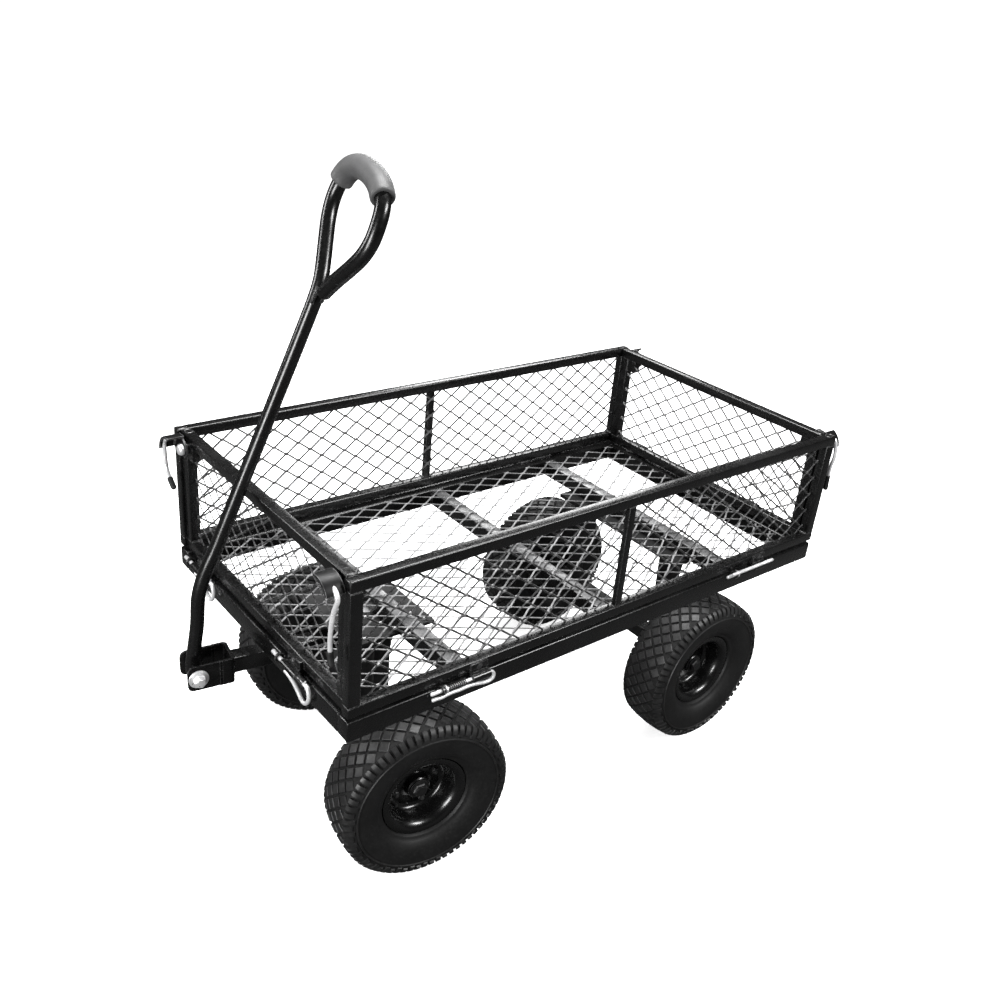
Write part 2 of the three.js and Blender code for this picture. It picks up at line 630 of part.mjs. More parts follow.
function handleTube() {
  const leg = [
    ...LOWER_LEG.map(([x, z]) => [x, leanY(z), z]),
    ...UPPER_LEG.map((along) => onHandle([along, 0])),
  ];
  // the loop is swept in two overlapping runs
  const firstRun = [[330, 0], ...LOOP.slice(0, 12)].map(onHandle);
  const secondRun = LOOP.slice(10).map(onHandle);
  return cut(join(
    sweep(leg, HANDLE_R, 10, 10),
    sweep(firstRun, HANDLE_R, 10, 12),
    sweep(secondRun, HANDLE_R, 10, 14),
    prism(TAB, "y", about(0, 8)),
    rod("y", HITCH, about(0, 18), 9.5, 14),
  ), hitchBore);
}
part("handle_tube", handleTube(), BLACK, steer);
part("handle_grip", sweep(LOOP.slice(8, 16).map(onHandle), 15.3, 12, 10, 11), GRIP, steer);
part("handle_bolt", join(
  rod("y", HITCH, [-31, 24], 5, 14),
  rod("y", HITCH, [23.4, 25.4], 14, 20), // washer
  rod("y", HITCH, [25, 37], 9.2, 6), // head
), ZINC, steer);
part("handle_nut", hexNut(HITCH, 9.2, HITCH_BORE_R, [-30.5, -23.4]), ZINC, steer);

export default root;
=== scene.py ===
"""A four-wheeled cart: a bed with expanded-metal floor and sides, and a steered pull handle.

Shapes are laid out in millimetres: +X is the front (handle end), +Y the left side, z = 0 the
ground and x = 0 the middle of the bed. piece() moves them into the frame, in metres.
"""
import json
import math
import random
from math import copysign, cos, pi, radians, sin

import bmesh
import bpy
from mathutils import Matrix, Vector

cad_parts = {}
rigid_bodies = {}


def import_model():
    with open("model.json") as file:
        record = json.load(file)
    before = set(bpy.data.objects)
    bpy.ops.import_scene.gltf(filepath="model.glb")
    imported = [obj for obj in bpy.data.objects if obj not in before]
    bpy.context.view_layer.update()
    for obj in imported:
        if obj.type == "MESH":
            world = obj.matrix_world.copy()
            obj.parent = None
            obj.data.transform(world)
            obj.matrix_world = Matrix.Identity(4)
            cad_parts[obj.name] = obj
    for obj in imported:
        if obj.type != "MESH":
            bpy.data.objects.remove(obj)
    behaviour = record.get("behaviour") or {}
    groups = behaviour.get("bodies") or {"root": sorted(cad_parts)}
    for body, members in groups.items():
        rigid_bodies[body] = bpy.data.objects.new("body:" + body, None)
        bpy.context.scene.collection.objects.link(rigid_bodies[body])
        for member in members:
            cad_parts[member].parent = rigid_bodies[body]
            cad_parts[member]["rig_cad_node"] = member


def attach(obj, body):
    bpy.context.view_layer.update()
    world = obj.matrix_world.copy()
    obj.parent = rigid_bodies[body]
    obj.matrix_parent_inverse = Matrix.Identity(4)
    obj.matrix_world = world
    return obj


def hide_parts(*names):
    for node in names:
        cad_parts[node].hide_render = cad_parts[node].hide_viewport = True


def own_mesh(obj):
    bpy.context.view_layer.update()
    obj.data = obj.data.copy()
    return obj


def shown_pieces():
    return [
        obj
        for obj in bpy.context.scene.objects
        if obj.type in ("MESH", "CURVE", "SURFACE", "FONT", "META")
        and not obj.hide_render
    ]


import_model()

for default_name in ("Cube", "Light", "Camera"):
    default = bpy.data.objects.get(default_name)
    if default is not None and default.get("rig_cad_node") is None:
        bpy.data.objects.remove(default, do_unlink=True)
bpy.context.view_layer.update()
random.seed(7)

# ---------------- driving dimensions (mm) ----------------
SHIFT_X, SHIFT_Z = 8.0, -338.8  # from the layout to the frame
HALF_LENGTH, HALF_WIDTH = 920.9 / 2, 503.8 / 2

DECK_TUBE = 25
DECK_IN_X = HALF_LENGTH - DECK_TUBE
DECK_IN_Y = HALF_WIDTH - DECK_TUBE

PANEL_TUBE = 16
PANEL_POST = 18
PANEL_BOTTOM, PANEL_TOP = 346.0, 541.0
OPEN_BOTTOM = PANEL_BOTTOM + PANEL_TUBE
OPEN_TOP = PANEL_TOP - PANEL_TUBE
END_HALF_WIDTH = HALF_WIDTH - PANEL_TUBE - 1
END_OUT_X = HALF_LENGTH - 4
END_IN_X = END_OUT_X - PANEL_TUBE
MESH_GAP = 0.6  # between a mesh and the tube round it

# pins that join the panels to the deck; the second of each pair is shifted
PIN_Z = 342.0
SIDE_PIN_Y, END_PIN_X = 259.0, 467.5
SIDE_SHIFTS = (0, -576.5)  # along x
END_SHIFTS = (0, -285.3)  # along y
PIN_BORE = 3.55

# dome bolts at the corners of the bed
BOLT_Y, BOLT_Z = 210, 522

TYRE_RADIUS = 130.0
WHEEL_Y = 199.9
REAR_AXLE_X = -263.2
STEER_X, STEER_ANGLE = 280.35, radians(-8.606)
STEER = Matrix.Translation((STEER_X, 0, 0)) @ Matrix.Rotation(STEER_ANGLE, 4, "Z")
TO_FRAME = Matrix.Translation((SHIFT_X / 1000, 0, SHIFT_Z / 1000)) @ Matrix.Scale(0.001, 4)

SIGNS = (1, -1)
SIDES = (("left", 1), ("right", -1))
ENDS = (("front", 1), ("rear", -1))


# ---------------- material helpers ----------------
def new_material(name):
    material = bpy.data.materials.new(name)
    material.use_nodes = True
    tree = material.node_tree
    return material, tree, tree.nodes["Principled BSDF"]


def set_inputs(tree, node, inputs):
    """Link the inputs that are given a socket and set the others."""
    for key, value in inputs.items():
        if isinstance(value, bpy.types.NodeSocket):
            tree.links.new(value, node.inputs[key])
        else:
            node.inputs[key].default_value = value


def add_node(tree, kind, inputs={}, **settings):
    node = tree.nodes.new(kind)
    for key, value in settings.items():
        setattr(node, key, value)
    set_inputs(tree, node, inputs)
    return node


def grey(value):
    """A grey with a trace of blue."""
    return (value, value, value * 1.01, 1)


def ramp(tree, factor, stops):
    """Colour ramp through (position, grey value) stops."""
    node = add_node(tree, "ShaderNodeValToRGB", {0: factor})
    elements = node.color_ramp.elements
    for element, stop in ((elements[0], stops[0]), (elements[1], stops[-1])):
        element.position = stop[0]
        element.color = grey(stop[1])
    for position, value in stops[1:-1]:
        elements.new(position).color = grey(value)
    return node.outputs[0]


def noise(tree, coords, scale, detail, rough, distortion=0.0):
    return add_node(tree, "ShaderNodeTexNoise", {
        "Scale": scale, "Detail": detail, "Roughness": rough, "Distortion": distortion,
        "Vector": coords}).outputs[0]


def mix_colour(tree, factor, first, second):
    return add_node(tree, "ShaderNodeMix", {"Factor": factor, 6: first, 7: second},
                    data_type="RGBA").outputs[2]


def bump(tree, height, strength, distance, below=None):
    inputs = {"Strength": strength, "Distance": distance, "Height": height}
    if below is not None:
        inputs["Normal"] = below
    return add_node(tree, "ShaderNodeBump", inputs).outputs["Normal"]


def object_coords(tree):
    return add_node(tree, "ShaderNodeTexCoord").outputs["Object"]


# ---------------- materials ----------------
def paint(name, base=0.0016, light=0.0038, rough=(0.20, 0.34), edge_wear_and_highlight=0.16, edge_wear_and_highlight_width=0.0012,
          peel=0.06, specular=0.5, dust=None):
    """Dark coating from base to light grey. Its edges are lightened to a grey, rubbed wear with
    a painted edge highlight; given dust, upward faces are lightened, dust with a painted sheen.
    """
    material, tree, surface = new_material(name)
    coords = object_coords(tree)
    cloud = noise(tree, coords, scale=14, detail=5, rough=0.6)
    grain = noise(tree, coords, scale=900, detail=2, rough=0.5)
    scratch = noise(tree, coords, scale=160, detail=6, rough=0.7)
    colour = ramp(tree, cloud, [(0.35, base), (0.7, light)])

    # rubbed edges with a painted edge highlight: a wide bevel normal against the true one
    bevel = add_node(tree, "ShaderNodeBevel", {"Radius": edge_wear_and_highlight_width}, samples=4)
    normal = add_node(tree, "ShaderNodeNewGeometry").outputs["Normal"]
    match = add_node(tree, "ShaderNodeVectorMath", {0: bevel.outputs[0], 1: normal},
                     operation="DOT_PRODUCT")
    edge = ramp(tree, match.outputs["Value"], [(0.86, 1), (0.985, 0)])
    patchy = ramp(tree, scratch, [(0.4, 0.25), (0.62, 1)])
    rubbed_and_lit_edges = add_node(tree, "ShaderNodeMath", {0: edge, 1: patchy}, operation="MULTIPLY")
    colour = mix_colour(tree, rubbed_and_lit_edges.outputs[0], colour, grey(edge_wear_and_highlight))

    if dust is not None:  # upward faces painted lighter: dust, with a painted sheen on the tops
        axes = add_node(tree, "ShaderNodeSeparateXYZ", {0: normal})
        upward_dust_and_sheen = ramp(tree, axes.outputs["Z"], [(0.80, 0), (0.97, 1)])
        dusty = ramp(tree, cloud, [(0.38, dust * 0.25), (0.64, dust)])
        colour = mix_colour(tree, upward_dust_and_sheen, colour, dusty)

    orange_peel = bump(tree, grain, strength=peel, distance=0.00012)
    set_inputs(tree, surface, {
        "Base Color": colour,
        "Roughness": ramp(tree, scratch, [(0.3, rough[0]), (0.75, rough[1])]),
        "Metallic": 0.0,
        "Specular IOR Level": specular,
        "Normal": bump(tree, scratch, strength=0.03, distance=0.0003, below=orange_peel)})
    return material


def metal(name, base, rough, dark=0.75, metallic=0.5):
    """Clouded metal; dark is the share of base left in the darkest areas."""
    material, tree, surface = new_material(name)
    coords = object_coords(tree)
    cloud = noise(tree, coords, scale=45, detail=5, rough=0.65)
    scratch = noise(tree, coords, scale=420, detail=4, rough=0.6, distortion=0.6)
    stops = [(0.3, base * dark), (0.65, base), (0.8, min(1, base * 1.08))]
    set_inputs(tree, surface, {
        "Base Color": ramp(tree, cloud, stops),
        "Roughness": ramp(tree, cloud, [(0.3, rough[1]), (0.7, rough[0])]),
        "Metallic": metallic,
        "Normal": bump(tree, scratch, strength=0.25, distance=0.00015)})
    return material


def rubber(name, base, light, rough, relief=0.35, scale=260, dust=0.0):
    """Rubber from base to light grey; relief and scale set its surface grain."""
    material, tree, surface = new_material(name)
    coords = object_coords(tree)
    cloud = noise(tree, coords, scale=22, detail=6, rough=0.62)
    grain = noise(tree, coords, scale=scale, detail=5, rough=0.6)
    speckle = noise(tree, coords, scale=1500, detail=2, rough=0.5)
    colour = ramp(tree, cloud, [(0.35, base), (0.72, light)])
    dusty = ramp(tree, grain, [(0.55, 0), (0.78, dust)])
    coarse = bump(tree, grain, strength=relief, distance=0.0003)
    set_inputs(tree, surface, {
        "Base Color": mix_colour(tree, dusty, colour, (0.12, 0.118, 0.112, 1)),
        "Roughness": ramp(tree, grain, [(0.3, rough[0]), (0.7, rough[1])]),
        "Specular IOR Level": 0.36,
        "Normal": bump(tree, speckle, strength=0.2, distance=0.0001, below=coarse)})
    return material


BLACK = paint("powder_coat_black", dust=0.010)
# cross members: top faces painted light grey, dust with a painted sheen
CROSS_BLACK_DUST_AND_SHEEN = paint("powder_coat_cross_members_dust_and_sheen", dust=0.17)
# hood: wider and lighter painted edges, rubbed wear with a painted edge highlight
HOOD_BLACK = paint("powder_coat_hood", rough=(0.34, 0.48), specular=0.22, edge_wear_and_highlight=0.30,
                   edge_wear_and_highlight_width=0.0014)
# expanded mesh: light edges and tops, wear and dust with painted highlights; the floor mesh is
# a much lighter grey than the frame
MESH_BLACK = paint("powder_coat_mesh", base=0.012, light=0.035, rough=(0.20, 0.38), edge_wear_and_highlight=0.35,
                   edge_wear_and_highlight_width=0.0005, specular=0.8, dust=0.20)
FLOOR_BLACK = paint("powder_coat_floor_mesh", base=0.07, light=0.17, rough=(0.2, 0.4),
                    edge_wear_and_highlight=0.55, edge_wear_and_highlight_width=0.0006, specular=0.9, dust=0.42)
UNDER_BLACK = paint("powder_coat_under", base=0.0015, light=0.004, rough=(0.4, 0.62), edge_wear_and_highlight=0.02)
RIM_BLACK = paint("enamel_gloss_black", base=0.0012, light=0.0025, rough=(0.20, 0.32),
                  edge_wear_and_highlight=0.02, peel=0.05, specular=0.6)
ZINC = metal("zinc_plate", base=0.78, rough=(0.24, 0.40), metallic=0.60)
WIRE = metal("zinc_wire", base=0.86, rough=(0.22, 0.36))
SPRING = metal("spring_steel", base=0.022, rough=(0.36, 0.5), dark=0.5, metallic=0.3)
DARK_STEEL = metal("oiled_steel", base=0.05, rough=(0.3, 0.5), dark=0.6)
TYRE = rubber("tyre_rubber", base=0.006, light=0.016, rough=(0.36, 0.55), dust=0.12)
SIDEWALL = rubber("tyre_sidewall", base=0.0025, light=0.0060, rough=(0.46, 0.66), dust=0.05,
                  scale=320)
# groove floor painted near black: painted shade in the grooves
GROOVE_SHADE = rubber("tyre_groove_painted_shade", base=0.0008, light=0.0016, rough=(0.7, 0.9))
TIP_RUBBER = rubber("rubber_tip", base=0.005, light=0.010, rough=(0.5, 0.7))
GRIP_FOAM = rubber("foam_grip", base=0.060, light=0.095, rough=(0.42, 0.58), relief=0.5,
                   scale=700)


# ---------------- shapes ----------------
class Shape:
    """Vertices in mm, faces, and the material slot of each face."""

    def __init__(self, verts=(), faces=()):
        self.verts = [tuple(point) for point in verts]
        self.faces = list(faces)
        self.slots = [0] * len(self.faces)

    def merge(self, *others, slot=None):
        for other in others:
            start = len(self.verts)
            self.verts += other.verts
            self.faces += [tuple(i + start for i in face) for face in other.faces]
            self.slots += other.slots if slot is None else [slot] * len(other.slots)
        return self

    def mirrored(self, x_sign=1, y_sign=1):
        """A copy, flipped along each axis whose sign is -1."""
        copy = Shape([(x * x_sign, y * y_sign, z) for x, y, z in self.verts], self.faces)
        if x_sign * y_sign < 0:
            copy.faces = [tuple(reversed(face)) for face in self.faces]
        copy.slots = list(self.slots)
        return copy


def recalc_normals(mesh):
    mesh.update()
    edit = bmesh.new()
    edit.from_mesh(mesh)
    bmesh.ops.recalc_face_normals(edit, faces=edit.faces)
    edit.to_mesh(mesh)
    edit.free()


def link_object(name, data):
    obj = bpy.data.objects.new(name, data)
    bpy.context.scene.collection.objects.link(obj)
    return obj


def piece(name, shape, materials, body, slot, replaces=None, sharp=38,
          place=Matrix.Identity(4)):
    """Build a shape; edges over sharp degrees stay hard, place is a transform in mm."""
    mesh = bpy.data.meshes.new(name)
    move = TO_FRAME @ place
    mesh.from_pydata([tuple(move @ Vector(point)) for point in shape.verts], [], shape.faces)
    for material in materials:
        mesh.materials.append(material)
    mesh.polygons.foreach_set("material_index", shape.slots)
    mesh.polygons.foreach_set("use_smooth", [True] * len(mesh.polygons))
    recalc_normals(mesh)
    mesh.set_sharp_from_angle(angle=radians(sharp))
    obj = link_object(name, mesh)
    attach(obj, body)
    if replaces:
        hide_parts(replaces)
    return obj


def ring_quads(rings, size):
    """Faces between successive rings of size vertices."""
    return [(i * size + j, i * size + (j + 1) % size,
             (i + 1) * size + (j + 1) % size, (i + 1) * size + j)
            for i in range(rings - 1) for j in range(size)]


def end_caps(rings, size):
    return [tuple(range(size - 1, -1, -1)), tuple(range((rings - 1) * size, rings * size))]


def box(x0, x1, y0, y1, z0, z1, radius=2.0, segments=3):
    """Box with rounded edges; each pair of limits may come in either order."""
    spans = ((x0, x1), (y0, y1), (z0, z1))
    size = [abs(b - a) for a, b in spans]
    centre = [(a + b) / 2 for a, b in spans]
    edit = bmesh.new()
    bmesh.ops.create_cube(edit, size=1)
    for vert in edit.verts:
        vert.co = Vector([vert.co[i] * size[i] for i in range(3)])
    bmesh.ops.bevel(edit, geom=edit.edges[:] + edit.verts[:], offset=radius,
                    segments=segments, profile=0.5, affect="EDGES")
    verts = [[vert.co[i] + centre[i] for i in range(3)] for vert in edit.verts]
    faces = [tuple(vert.index for vert in face.verts) for face in edit.faces]
    edit.free()
    return Shape(verts, faces)


def smooth_curve(points, steps):
    """Centripetal Catmull-Rom curve through the points, with steps to each span."""
    points = [Vector(point) for point in points]
    padded = [2 * points[0] - points[1]] + points + [2 * points[-1] - points[-2]]
    curve = []
    for i in range(1, len(padded) - 2):
        four = padded[i - 1:i + 3]
        knots = [0.0]
        for a, b in zip(four, four[1:]):
            knots.append(knots[-1] + (b - a).length ** 0.5)
        for k in range(steps):
            now = knots[1] + (knots[2] - knots[1]) * k / steps

            def blend(a, b, start, end):
                return a * ((end - now) / (end - start)) + b * ((now - start) / (end - start))

            three = [blend(four[j], four[j + 1], knots[j], knots[j + 1]) for j in range(3)]
            two = [blend(three[j], three[j + 1], knots[j], knots[j + 2]) for j in range(2)]
            curve.append(blend(two[0], two[1], knots[1], knots[2]))
    curve.append(points[-1])
    return curve


def sweep(path, radius, sides, caps=True, up=None, tangents=None):
    """Tube along a path.

    radius is a number or a list with one entry per point: a number or a pair of half-widths,
    the first along up.
    """
    path = [Vector(point) for point in path]
    if tangents is None:
        tangents = [(after - before).normalized() for before, after
                    in zip(path[:1] + path[:-1], path[1:] + path[-1:])]
    if up is None:
        up = (0, 0, 1) if abs(tangents[0].z) < 0.9 else (0, 1, 0)
    up = Vector(up)
    verts = []
    for i, (point, tangent) in enumerate(zip(path, tangents)):
        up = (up - tangent * up.dot(tangent)).normalized()
        across = tangent.cross(up)
        size = radius[i] if isinstance(radius, list) else radius
        high, wide = size if isinstance(size, tuple) else (size, size)
        for j in range(sides):
            angle = 2 * pi * j / sides
            verts.append(point + up * (high * cos(angle)) + across * (wide * sin(angle)))
    faces = ring_quads(len(path), sides)
    if caps:
        faces += end_caps(len(path), sides)
    return Shape(verts, faces)


def domed_rod(path, radius, sides, up):
    """A swept rod with rounded ends."""
    path = [Vector(point) for point in path]
    first = (path[0] - path[1]).normalized()
    last = (path[-1] - path[-2]).normalized()
    angles = [(i + 0.35) / 3 * pi / 2 for i in range(3)]
    reach = [radius * 0.55 * cos(angle) for angle in angles]
    radii = [radius * sin(angle) for angle in angles]
    points = ([path[0] + first * out for out in reach] + path
              + [path[-1] + last * out for out in reversed(reach)])
    return sweep(points, radii + [radius] * len(path) + radii[::-1], sides, up=up)


def lathe(profile, segments, axis="y", centre=(0, 0, 0), solid=False):
    """Turn (radius, distance along axis) points; solid caps the ends, else they join up."""
    size = len(profile)
    verts = []
    for i in range(segments):
        angle = 2 * pi * i / segments
        for radius, along in profile:
            x, y, z = radius * sin(angle), along, radius * cos(angle)
            if axis == "x":
                x, y = y, x
            verts.append((x + centre[0], y + centre[1], z + centre[2]))
    faces = []
    for i in range(segments):
        after = (i + 1) % segments
        for j in range(size - 1 if solid else size):
            k = (j + 1) % size
            faces.append((i * size + j, i * size + k, after * size + k, after * size + j))
    if solid:
        faces.append(tuple(i * size for i in range(segments)))
        faces.append(tuple(i * size + size - 1 for i in range(segments - 1, -1, -1)))
    return Shape(verts, faces)


def sleeve(bore, radius, start, end, axis, centre, chamfer=(0.6, 0.7), segments=28):
    """Ring or tube; chamfer is (radial, along the axis)."""
    radial, along = chamfer
    along = copysign(along, end - start)
    profile = [(bore, start), (radius - radial, start), (radius, start + along),
               (radius, end - along), (radius - radial, end), (bore, end)]
    return lathe(profile, segments, axis, centre)


def disc(centre, radius, height, segments, chamfer):
    """Solid disc rising along y from centre."""
    profile = [(radius - chamfer, 0), (radius, min(chamfer, height * 0.4)),
               (radius, height - chamfer), (radius - chamfer * 0.4, height - chamfer * 0.25),
               (radius - chamfer * 1.4, height)]
    return lathe(profile, segments, centre=centre, solid=True)


def hex_head(centre, radius, height, turn):
    """Hexagon along y from centre; a negative height goes towards -y."""
    chamfer = copysign(radius * 0.14, height)
    head = lathe([(radius, 0), (radius, height - chamfer), (radius * 0.86, height)], 6,
                 solid=True)
    move = Matrix.Translation(centre) @ Matrix.Rotation(turn, 4, "Y")
    head.verts = [tuple(move @ Vector(point)) for point in head.verts]
    return head


def bead(start, end, radius, seed):
    """Weld bead of overlapping ripples."""
    start, end = Vector(start), Vector(end)
    length = (end - start).length
    count = max(8, int(length / 0.9))
    rng = random.Random(seed + int(length * 7))
    phase = rng.random() * 6
    path, radii = [], []
    for i in range(count + 1):
        t = i / count
        taper = min(1, min(t, 1 - t) * length / 2.2 + 0.25)
        ripple = 1 + 0.16 * sin(t * length * 2.1 + phase) + 0.06 * rng.uniform(-1, 1)
        path.append(start.lerp(end, t))
        radii.append(radius * taper * ripple)
    return sweep(path, radii, 8)


# ---------------- expanded metal ----------------
def clip(points, u_span, v_span):
    """The runs of a polyline that lie inside a rectangle."""
    def inside(point):
        return u_span[0] <= point[0] <= u_span[1] and v_span[0] <= point[1] <= v_span[1]

    def edge_point(kept, lost):
        def between(t):
            return (kept[0] + (lost[0] - kept[0]) * t, kept[1] + (lost[1] - kept[1]) * t)

        low, high = 0.0, 1.0
        for _ in range(18):
            middle = (low + high) / 2
            if inside(between(middle)):
                low = middle
            else:
                high = middle
        return between(low)

    runs, run = [], []
    for a, b in zip(points, points[1:]):
        if inside(a) and not run:
            run = [a]
        if inside(a) and inside(b):
            run.append(b)
        elif inside(a):
            runs.append(run + [edge_point(a, b)])
            run = []
        elif inside(b):
            run = [edge_point(b, a), b]
    if run:
        runs.append(run)
    return runs


STRAND_THICK = 1.6
STRAND_TILT = 0.4  # radians, the twist of each strand out of the sheet


def strand(run, width, place):
    """A flat bar with clipped corners along a run."""
    half, thick = width / 2, STRAND_THICK / 2
    lower = [(-half, -thick * 0.75), (-half * 0.8, -thick),
             (half * 0.8, -thick), (half, -thick * 0.75)]
    section = lower + [(-x, -y) for x, y in lower]
    tilt_cos, tilt_sin = cos(STRAND_TILT), sin(STRAND_TILT)
    verts = []
    for i, point in enumerate(run):
        before, after = run[max(i - 1, 0)], run[min(i + 1, len(run) - 1)]
        # a run cut exactly at a vertex has two equal points
        length = math.dist(before, after) or 1
        along_u = (after[0] - before[0]) / length
        along_v = (after[1] - before[1]) / length
        for x, y in section:
            out = x * tilt_cos - y * tilt_sin
            height = x * tilt_sin + y * tilt_cos
            verts.append(place(point[0] - along_v * out, point[1] + along_u * out, height))
    return Shape(verts, ring_quads(len(run), 8) + end_caps(len(run), 8))


def expanded(u_span, v_span, pitch, origin, place, width=2.6, bond=4.8):
    """Rows of zigzag strands that meet at bonds.

    u runs along the strands, origin is the (u, v) of a bond, bond its length, and
    place(u, v, height) puts a point in the layout.
    """
    sheet = Shape()
    row = pitch[1] / 2
    first_row, last_row = [int((v - origin[1]) / row) for v in v_span]
    first, last = [int((u - origin[0]) / pitch[0]) for u in u_span]
    for k in range(first_row - 2, last_row + 3):
        low = origin[1] + k * row + width * 0.42
        high = origin[1] + (k + 1) * row - width * 0.42
        start = origin[0] + (0 if k % 2 == 0 else pitch[0] / 2)
        points = []
        for i in range(first - 2, last + 3):
            for u, v in ((start + i * pitch[0], low),
                         (start + i * pitch[0] + pitch[0] / 2, high)):
                points += [(u - bond / 2, v), (u + bond / 2, v)]
        for run in clip(points, u_span, v_span):
            if sum(math.dist(a, b) for a, b in zip(run, run[1:])) >= 4:
                sheet.merge(strand(run, width, place))
    return sheet


# ---------------- deck ----------------
CROSS_MEMBERS = ((254, 279), (-20.5, 4.5), (-288, -263))  # x limits
SIDE_LUG_X, END_LUG_Y, LUG_WIDTH = 323.5, 86.5, 3
FLOOR_Z = 338.2


def lug(axis, centre, start):
    return sleeve(3.5, 7.0, start, start + LUG_WIDTH, axis, centre, chamfer=(0.6, 0.6))


def deck_tubes():
    tubes = Shape()
    for side in SIGNS:
        tubes.merge(box(-HALF_LENGTH, HALF_LENGTH, side * DECK_IN_Y, side * HALF_WIDTH,
                        310, 341, 3.2))
    for end in SIGNS:
        tubes.merge(box(end * DECK_IN_X, end * (HALF_LENGTH - 0.15),
                        -DECK_IN_Y - 1, DECK_IN_Y + 1, 310.15, 340.85, 2.6))
    return tubes


def cross_member(start, stop):
    # slot 1 paints the cross member's top faces light grey, dust with a painted sheen
    member = Shape().merge(
        box(start, stop, -DECK_IN_Y - 1, DECK_IN_Y + 1, 311, 336, 2.6), slot=1)
    for side in SIGNS:
        y = side * (DECK_IN_Y - 0.6)
        member.merge(bead((start + 1, y, 337), (stop - 1, y, 337), 1.9,
                          seed=int(start + 900 + side)))
        for x, seed in ((start - 0.2, 700), (stop + 0.2, 500)):
            member.merge(bead((x, y, 314), (x, y, 334), 2.0, seed=int(start + seed + side)))
    return member


def deck_corner_beads(end, side):
    x, y = end * (DECK_IN_X - 0.4), side * (DECK_IN_Y - 0.4)
    seam = side * DECK_IN_Y
    seed = end * 3 + side
    return Shape().merge(
        bead((x, y, 312), (x, y, 339), 2.4, seed=11 + seed),
        bead((end * (DECK_IN_X + 1), seam, 340.9),
             (end * (HALF_LENGTH - 1.5), seam, 340.9), 1.1, seed=31 + seed))


def side_lug(side, shift):
    x = SIDE_LUG_X + shift
    part = lug("x", (0, side * SIDE_PIN_Y, PIN_Z), x)
    part.merge(box(x, x + LUG_WIDTH, side * 251, side * (SIDE_PIN_Y - 3.6),
                   334.5, 341.5, 0.6, 1))
    for i, edge in enumerate((x - 0.3, x + 3.3)):
        part.merge(bead((edge, side * 252, 334.5), (edge, side * 252, 340.5), 1.5,
                        seed=int(x) + 1000 + i))
    return part


def end_lug(end, shift):
    y = END_LUG_Y + shift
    part = lug("y", (end * END_PIN_X, 0, PIN_Z), y)
    part.merge(box(end * 459.6, end * (END_PIN_X - 3.6), y, y + LUG_WIDTH,
                   335.5, 341.0, 0.6, 1))
    return part.merge(bead((end * 460.8, y - 0.3, 335), (end * 460.8, y - 0.3, 340), 1.4,
                           seed=int(y) + 1500))


deck = deck_tubes()
deck.merge(*[cross_member(*limits) for limits in CROSS_MEMBERS])
deck.merge(*[deck_corner_beads(end, side) for end in SIGNS for side in SIGNS])
deck.merge(*[side_lug(side, shift) for side in SIGNS for shift in SIDE_SHIFTS])
deck.merge(*[end_lug(end, shift) for end in SIGNS for shift in END_SHIFTS])
piece("deck_frame_tubes", deck, [BLACK, CROSS_BLACK_DUST_AND_SHEEN], "chassis", "black_frame", "deck_frame")

# the floor lies on the cross members, inside the deck tubes
floor_u, floor_v = DECK_IN_X - MESH_GAP, DECK_IN_Y - MESH_GAP
floor_sheet = expanded((-floor_u, floor_u), (-floor_v, floor_v), (52.0, 32.0), (-8.0, 0.0),
                       lambda u, v, height: (u, v, FLOOR_Z + height), width=2.9, bond=6.0)
piece("floor_expanded_mesh", floor_sheet, [FLOOR_BLACK], "chassis", "black_frame",
      "deck_mesh", sharp=30)

# ---------------- side and end panels ----------------
PANEL_PITCH = (42.5, 30.5)
MESH_BOND_Z = 434.0
SIDE_MESH_Y, END_MESH_X = 240.7, 444.7
MESH_HEIGHTS = (OPEN_BOTTOM + MESH_GAP, OPEN_TOP - MESH_GAP)
SIDE_BARREL = (248, 278)  # x limits
END_BARREL = (99.5, 138.5)  # y limits
# (radius, height) of the domed studs on the panels' hinge plates
SIDE_STUD = [(3.9, 0.0), (3.9, 0.4), (3.2, 0.9), (1.6, 1.25), (0.1, 1.35)]
END_STUD = [(3.9, 0.0), (3.9, 1.0), (3.2, 2.1), (1.6, 2.7), (0.1, 2.9)]


def plug(x, y, half_x, half_y):
    """The rounded loop of an end plug in a top rail."""
    loop = []
    for i in range(28):
        along, across = cos(2 * pi * i / 28), sin(2 * pi * i / 28)
        loop.append((x + half_x * copysign(abs(along) ** 0.7, along),
                     y + half_y * copysign(abs(across) ** 0.7, across), PANEL_TOP - 0.1))
    return sweep(loop + loop[:1], 0.8, 6, caps=False, up=(0, 0, 1))


